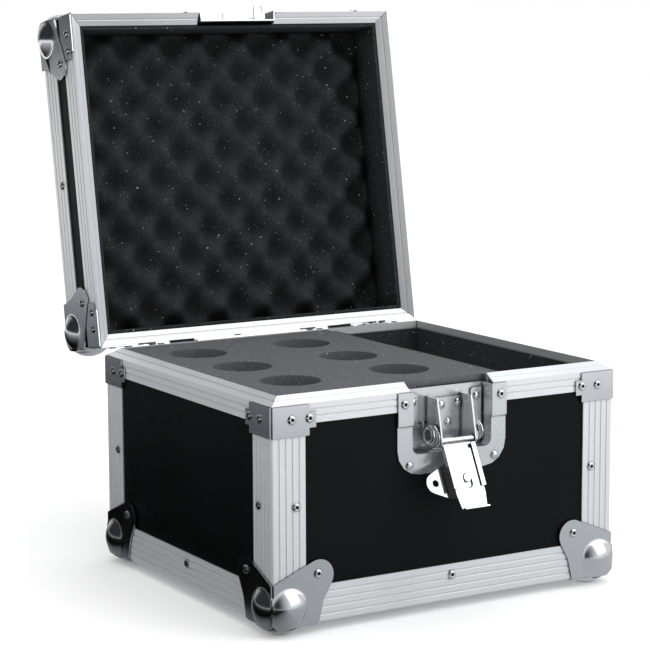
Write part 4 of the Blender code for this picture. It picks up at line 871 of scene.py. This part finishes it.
def make_rivets(name, head, places, body, on_lid=False):
    """All the rivets of one kind on a body in one mesh of separate heads."""
    together = bmesh.new()
    for place in places:
        single = head()
        single.transform(place)
        mesh = bpy.data.meshes.new("rivet")
        single.to_mesh(mesh)
        single.free()
        together.from_mesh(mesh)
        bpy.data.meshes.remove(mesh)
    piece = new_piece(name, together, "bright_steel", body, place=LID_OPEN if on_lid else None)
    # Second material: painted shade for the rivet eyes
    if head is rivet_shape:
        piece.data.materials.append(MATERIALS["painted_shade_rivet_eye"])


def circle(centre, radius, sides):
    """Outline of a circle."""
    turn = 2.0 * math.pi / sides
    return [(centre[0] + radius * math.cos(turn * step), centre[1] + radius * math.sin(turn * step))
            for step in range(sides)]


def make_foam_block():
    """Foam block with its wells, edges worn a little round by handling."""
    left = -CASE_HALF_WIDTH + FOAM_MARGIN
    half_y = CASE_HALF_DEPTH - FOAM_MARGIN
    notch_y = -half_y + FOAM_NOTCH_DEPTH
    outline = [
        (left, -half_y),
        (LATCH_OFFSET - FOAM_NOTCH_HALF, -half_y), (LATCH_OFFSET - FOAM_NOTCH_HALF, notch_y),
        (LATCH_OFFSET + FOAM_NOTCH_HALF, notch_y), (LATCH_OFFSET + FOAM_NOTCH_HALF, -half_y),
        (FOAM_RIGHT, -half_y), (FOAM_RIGHT, half_y), (left, half_y),
    ]
    block = new_piece("foam_block", prism(outline, "xy", FOAM_FLOOR, FOAM_TOP), "grey_foam", None)
    wells = []
    for column in range(2):
        for row in range(-1, 2):
            centre = (-CASE_HALF_WIDTH + WELL_FIRST_INSET + column * WELL_COLUMN_PITCH,
                      WELL_ROW_OFFSET + row * WELL_ROW_PITCH)
            well = prism(circle(centre, WELL_RADIUS, WELL_SIDES), "xy", FOAM_TOP - WELL_DEPTH,
                         FOAM_TOP * 2.0)
            wells.append((new_piece(f"well_{column}_{row + 1}", well, "grey_foam", None), "DIFFERENCE"))
    apply_booleans(block, wells)
    soften_edges(block, FOAM_SOFTENING, 3, FOAM_SOFTENED_ANGLE)
    block.data.shade_smooth()
    block.data.set_sharp_from_angle(angle=FOAM_SHARP_ANGLE)
    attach(block, "base")
    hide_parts("microphone_foam")


def crate_depth(x, y):
    """Foam thickness under the lid's top: rounded peaks over narrower valleys."""
    wave = (math.cos(2.0 * math.pi * x / CRATE_PITCH_X)
            * math.cos(2.0 * math.pi * (y - CRATE_ROW_SHIFT) / CRATE_PITCH_Y))
    share = (wave + 1.0) / 2.0
    return CRATE_VALLEY + (CRATE_PEAK - CRATE_VALLEY) * share


def make_egg_crate():
    """Egg-crate foam on a fine grid."""
    half_x, half_y = CASE_HALF_WIDTH - CRATE_INSET, CASE_HALF_DEPTH - CRATE_INSET
    columns, rows = round(2.0 * half_x / CRATE_CELL), round(2.0 * half_y / CRATE_CELL)
    shape = bmesh.new()
    lower, upper = {}, {}
    for column in range(columns + 1):
        for row in range(rows + 1):
            x = -half_x + 2.0 * half_x * column / columns
            y = -half_y + 2.0 * half_y * row / rows
            lower[column, row] = shape.verts.new((x, y, LID_CEILING - crate_depth(x, y)))
            if column in (0, columns) or row in (0, rows):
                upper[column, row] = shape.verts.new((x, y, LID_CEILING))
    for column in range(columns):
        for row in range(rows):
            shape.faces.new((lower[column, row], lower[column, row + 1],
                             lower[column + 1, row + 1], lower[column + 1, row]))
    rim = [(column, 0) for column in range(columns)] + [(columns, row) for row in range(rows)]
    rim += [(column, rows) for column in range(columns, 0, -1)] + [(0, row) for row in range(rows, 0, -1)]
    for here, there in zip(rim, rim[1:] + rim[:1]):
        shape.faces.new((lower[here], lower[there], upper[there], upper[here]))
    shape.faces.new([upper[key] for key in rim])
    crate = new_piece("egg_crate", shape, "black_foam", "lid", place=LID_OPEN)
    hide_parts("egg_crate_foam")


def make_lining():
    """Foam strips round the lid's walls, with softened edges."""
    outer_x, outer_y = CASE_HALF_WIDTH - FOAM_MARGIN, CASE_HALF_DEPTH - FOAM_MARGIN
    inner_x, inner_y = outer_x - LINING_THICKNESS, outer_y - LINING_THICKNESS
    ring = [(-outer_x, -outer_y), (outer_x, -outer_y), (outer_x, outer_y), (-outer_x, outer_y)]
    core = [(-inner_x, -inner_y), (inner_x, -inner_y), (inner_x, inner_y), (-inner_x, inner_y)]
    lining = new_piece("wall_lining", prism(ring, "xy", LINING_LOW + GAP, LID_CEILING), "black_foam", None)
    hole = new_piece("wall_lining_hole", prism(core, "xy", RIM, LID_TOP * 2.0), "black_foam", None)
    apply_booleans(lining, [(hole, "DIFFERENCE")])
    soften_edges(lining, FOAM_SOFTENING / 2.0, 2, LINING_SOFTENED_ANGLE)
    lining.data.transform(LID_OPEN)
    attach(lining, "lid")
    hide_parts("lid_lining")


def make_compartment_lining():
    """Thin black lining of the open compartment's walls, up to the rim."""
    outer = (DIVIDER_RIGHT + GAP, -(CASE_HALF_DEPTH - FOAM_MARGIN), CASE_HALF_WIDTH - FOAM_MARGIN,
             CASE_HALF_DEPTH - FOAM_MARGIN)
    inner = (outer[0] + FELT_THICKNESS, outer[1] + FELT_THICKNESS, outer[2] - FELT_THICKNESS,
             outer[3] - FELT_THICKNESS)
    rings = [[(x0, y0), (x1, y0), (x1, y1), (x0, y1)] for x0, y0, x1, y1 in (outer, inner)]
    lining = new_piece("compartment_lining", prism(rings[0], "xy", FOAM_FLOOR + GAP, RIM - FELT_DROP),
                       "black_foam", "base")
    hole = new_piece("compartment_hole", prism(rings[1], "xy", 0.0, RIM * 2.0), "black_foam", None)
    apply_booleans(lining, [(hole, "DIFFERENCE")])


def stage_sheet(name, low, high, level):
    """Level sheet of the stage, under the case."""
    shape = bmesh.new()
    corners = ((low[0], low[1]), (high[0], low[1]), (high[0], high[1]), (low[0], high[1]))
    shape.faces.new([shape.verts.new((x, y, level)) for x, y in corners])
    mesh = bpy.data.meshes.new(name)
    shape.to_mesh(mesh)
    shape.free()
    sheet = bpy.data.objects.new(name, mesh)
    bpy.context.collection.objects.link(sheet)
    return sheet


def make_stage():
    """Pale floor, and a dark card on it that only reflections see."""
    floor = stage_sheet("floor", (-FLOOR_HALF, -FLOOR_HALF), (FLOOR_HALF, FLOOR_HALF), 0.0)
    material, tree, shader = node_tree("floor")
    shader.inputs["Base Color"].default_value = (FLOOR_TONE, FLOOR_TONE, FLOOR_TONE, 1.0)
    shader.inputs["Emission Color"].default_value = (*WHITE, 1.0)
    shader.inputs["Emission Strength"].default_value = FLOOR_GLOW
    shader.inputs["Roughness"].default_value = 1.0
    shader.inputs["Specular IOR Level"].default_value = 0.0
    floor.data.materials.append(material)
    card = stage_sheet("dark_card", CARD_LOW, CARD_HIGH, CARD_HEIGHT)
    material, tree, shader = node_tree("dark_card")
    place = tree.nodes.new("ShaderNodeTexCoord")
    split = tree.nodes.new("ShaderNodeSeparateXYZ")
    tree.links.new(place.outputs["Object"], split.inputs["Vector"])
    across = map_range(tree, split.outputs["X"], 0.0, 1.0)
    (start, first), (end, last) = CARD_TONES[0], CARD_TONES[-1]
    across.inputs["From Min"].default_value = start
    across.inputs["From Max"].default_value = end
    tone = ramp(tree, across.outputs["Result"], 0.0, 1.0, first, last)
    for x, colour in CARD_TONES[1:-1]:
        stop = tone.color_ramp.elements.new((x - start) / (end - start))
        stop.color = (*colour, 1.0)
    tree.links.new(tone.outputs["Color"], shader.inputs["Emission Color"])
    shader.inputs["Emission Strength"].default_value = 1.0
    shader.inputs["Base Color"].default_value = (*BLACK, 1.0)
    shader.inputs["Roughness"].default_value = 1.0
    shader.inputs["Specular IOR Level"].default_value = 0.0
    card.data.materials.append(material)
    card.visible_camera = card.visible_shadow = False
    card.visible_diffuse = card.visible_transmission = False


def make_world():
    """Pale studio, whose left side is dark in what mirrors it."""
    world = bpy.data.worlds.new("studio")
    bpy.context.scene.world = world
    world.use_nodes = True
    tree = world.node_tree
    background = tree.nodes["Background"]
    place = tree.nodes.new("ShaderNodeTexCoord")
    split = tree.nodes.new("ShaderNodeSeparateXYZ")
    tree.links.new(place.outputs["Generated"], split.inputs["Vector"])
    across = map_range(tree, split.outputs["X"], 0.0, 1.0)
    across.inputs["From Min"].default_value = -1.0
    tone = ramp(tree, across.outputs["Result"], MIRRORED_START, MIRRORED_END,
                MIRRORED_DARK, MIRRORED_PALE)
    path = tree.nodes.new("ShaderNodeLightPath")
    mix = tree.nodes.new("ShaderNodeMix")
    mix.data_type = "RGBA"
    mix.inputs["A"].default_value = (*WHITE, 1.0)
    tree.links.new(tone.outputs["Color"], mix.inputs["B"])
    tree.links.new(path.outputs["Is Glossy Ray"], mix.inputs["Factor"])
    tree.links.new(mix.outputs["Result"], background.inputs["Color"])
    background.inputs["Strength"].default_value = 1.0
    bpy.context.scene.view_settings.view_transform = "Standard"


def area_light(name, spot, size, power):
    """Square area light that faces the case."""
    data = bpy.data.lights.new(name, "AREA")
    data.shape = "RECTANGLE"
    data.size = data.size_y = size
    data.energy = power
    light = bpy.data.objects.new(name, data)
    bpy.context.collection.objects.link(light)
    light.location = spot
    light.rotation_euler = (Vector(LIT_POINT) - Vector(spot)).to_track_quat("-Z", "Y").to_euler()


def make_lights():
    """Wide soft key light from the front right, and a soft light from above."""
    area_light("key", *KEY_LIGHT)
    area_light("top", *TOP_LIGHT)


def make_camera():
    """Camera from the azimuth, elevation and roll of the photograph's view."""
    back = Vector((math.sin(CAMERA_AZIMUTH) * math.cos(CAMERA_ELEVATION),
                   -math.cos(CAMERA_AZIMUTH) * math.cos(CAMERA_ELEVATION), math.sin(CAMERA_ELEVATION)))
    level = Vector((0.0, 0.0, 1.0)).cross(back).normalized()
    upright = back.cross(level)
    right = level * math.cos(CAMERA_ROLL) + upright * math.sin(CAMERA_ROLL)
    up = upright * math.cos(CAMERA_ROLL) - level * math.sin(CAMERA_ROLL)
    data = bpy.data.cameras.new("camera")
    data.lens = CAMERA_LENS
    data.sensor_width = SENSOR_WIDTH
    data.clip_end = CLIP_END
    camera = bpy.data.objects.new("camera", data)
    bpy.context.collection.objects.link(camera)
    spot = right * CAMERA_ACROSS + up * CAMERA_UP + back * CAMERA_DISTANCE + Vector((0.0, 0.0, FLOOR_LIFT))
    turn = Matrix((right, up, back)).transposed().to_4x4()
    camera.matrix_world = Matrix.Translation(spot) @ turn
    bpy.context.scene.camera = camera


def main():
    """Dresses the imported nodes, sets the studio, and adds the finer pieces."""
    dress_nodes()
    make_camera()
    make_world()
    make_lights()
    make_stage()
    make_corners()
    make_rivets("rivets_base", rivet_shape, base_rivet_places(), "base")
    make_rivets("rivets_lid", rivet_shape, lid_rivet_places(), "lid", on_lid=True)
    make_rivets("rivets_latch", domed_shape, latch_rivet_places(), "base")
    make_rivets("rivets_handle", domed_shape, handle_screw_places(), "lid", on_lid=True)
    make_foam_block()
    make_egg_crate()
    make_lining()
    make_compartment_lining()


main()
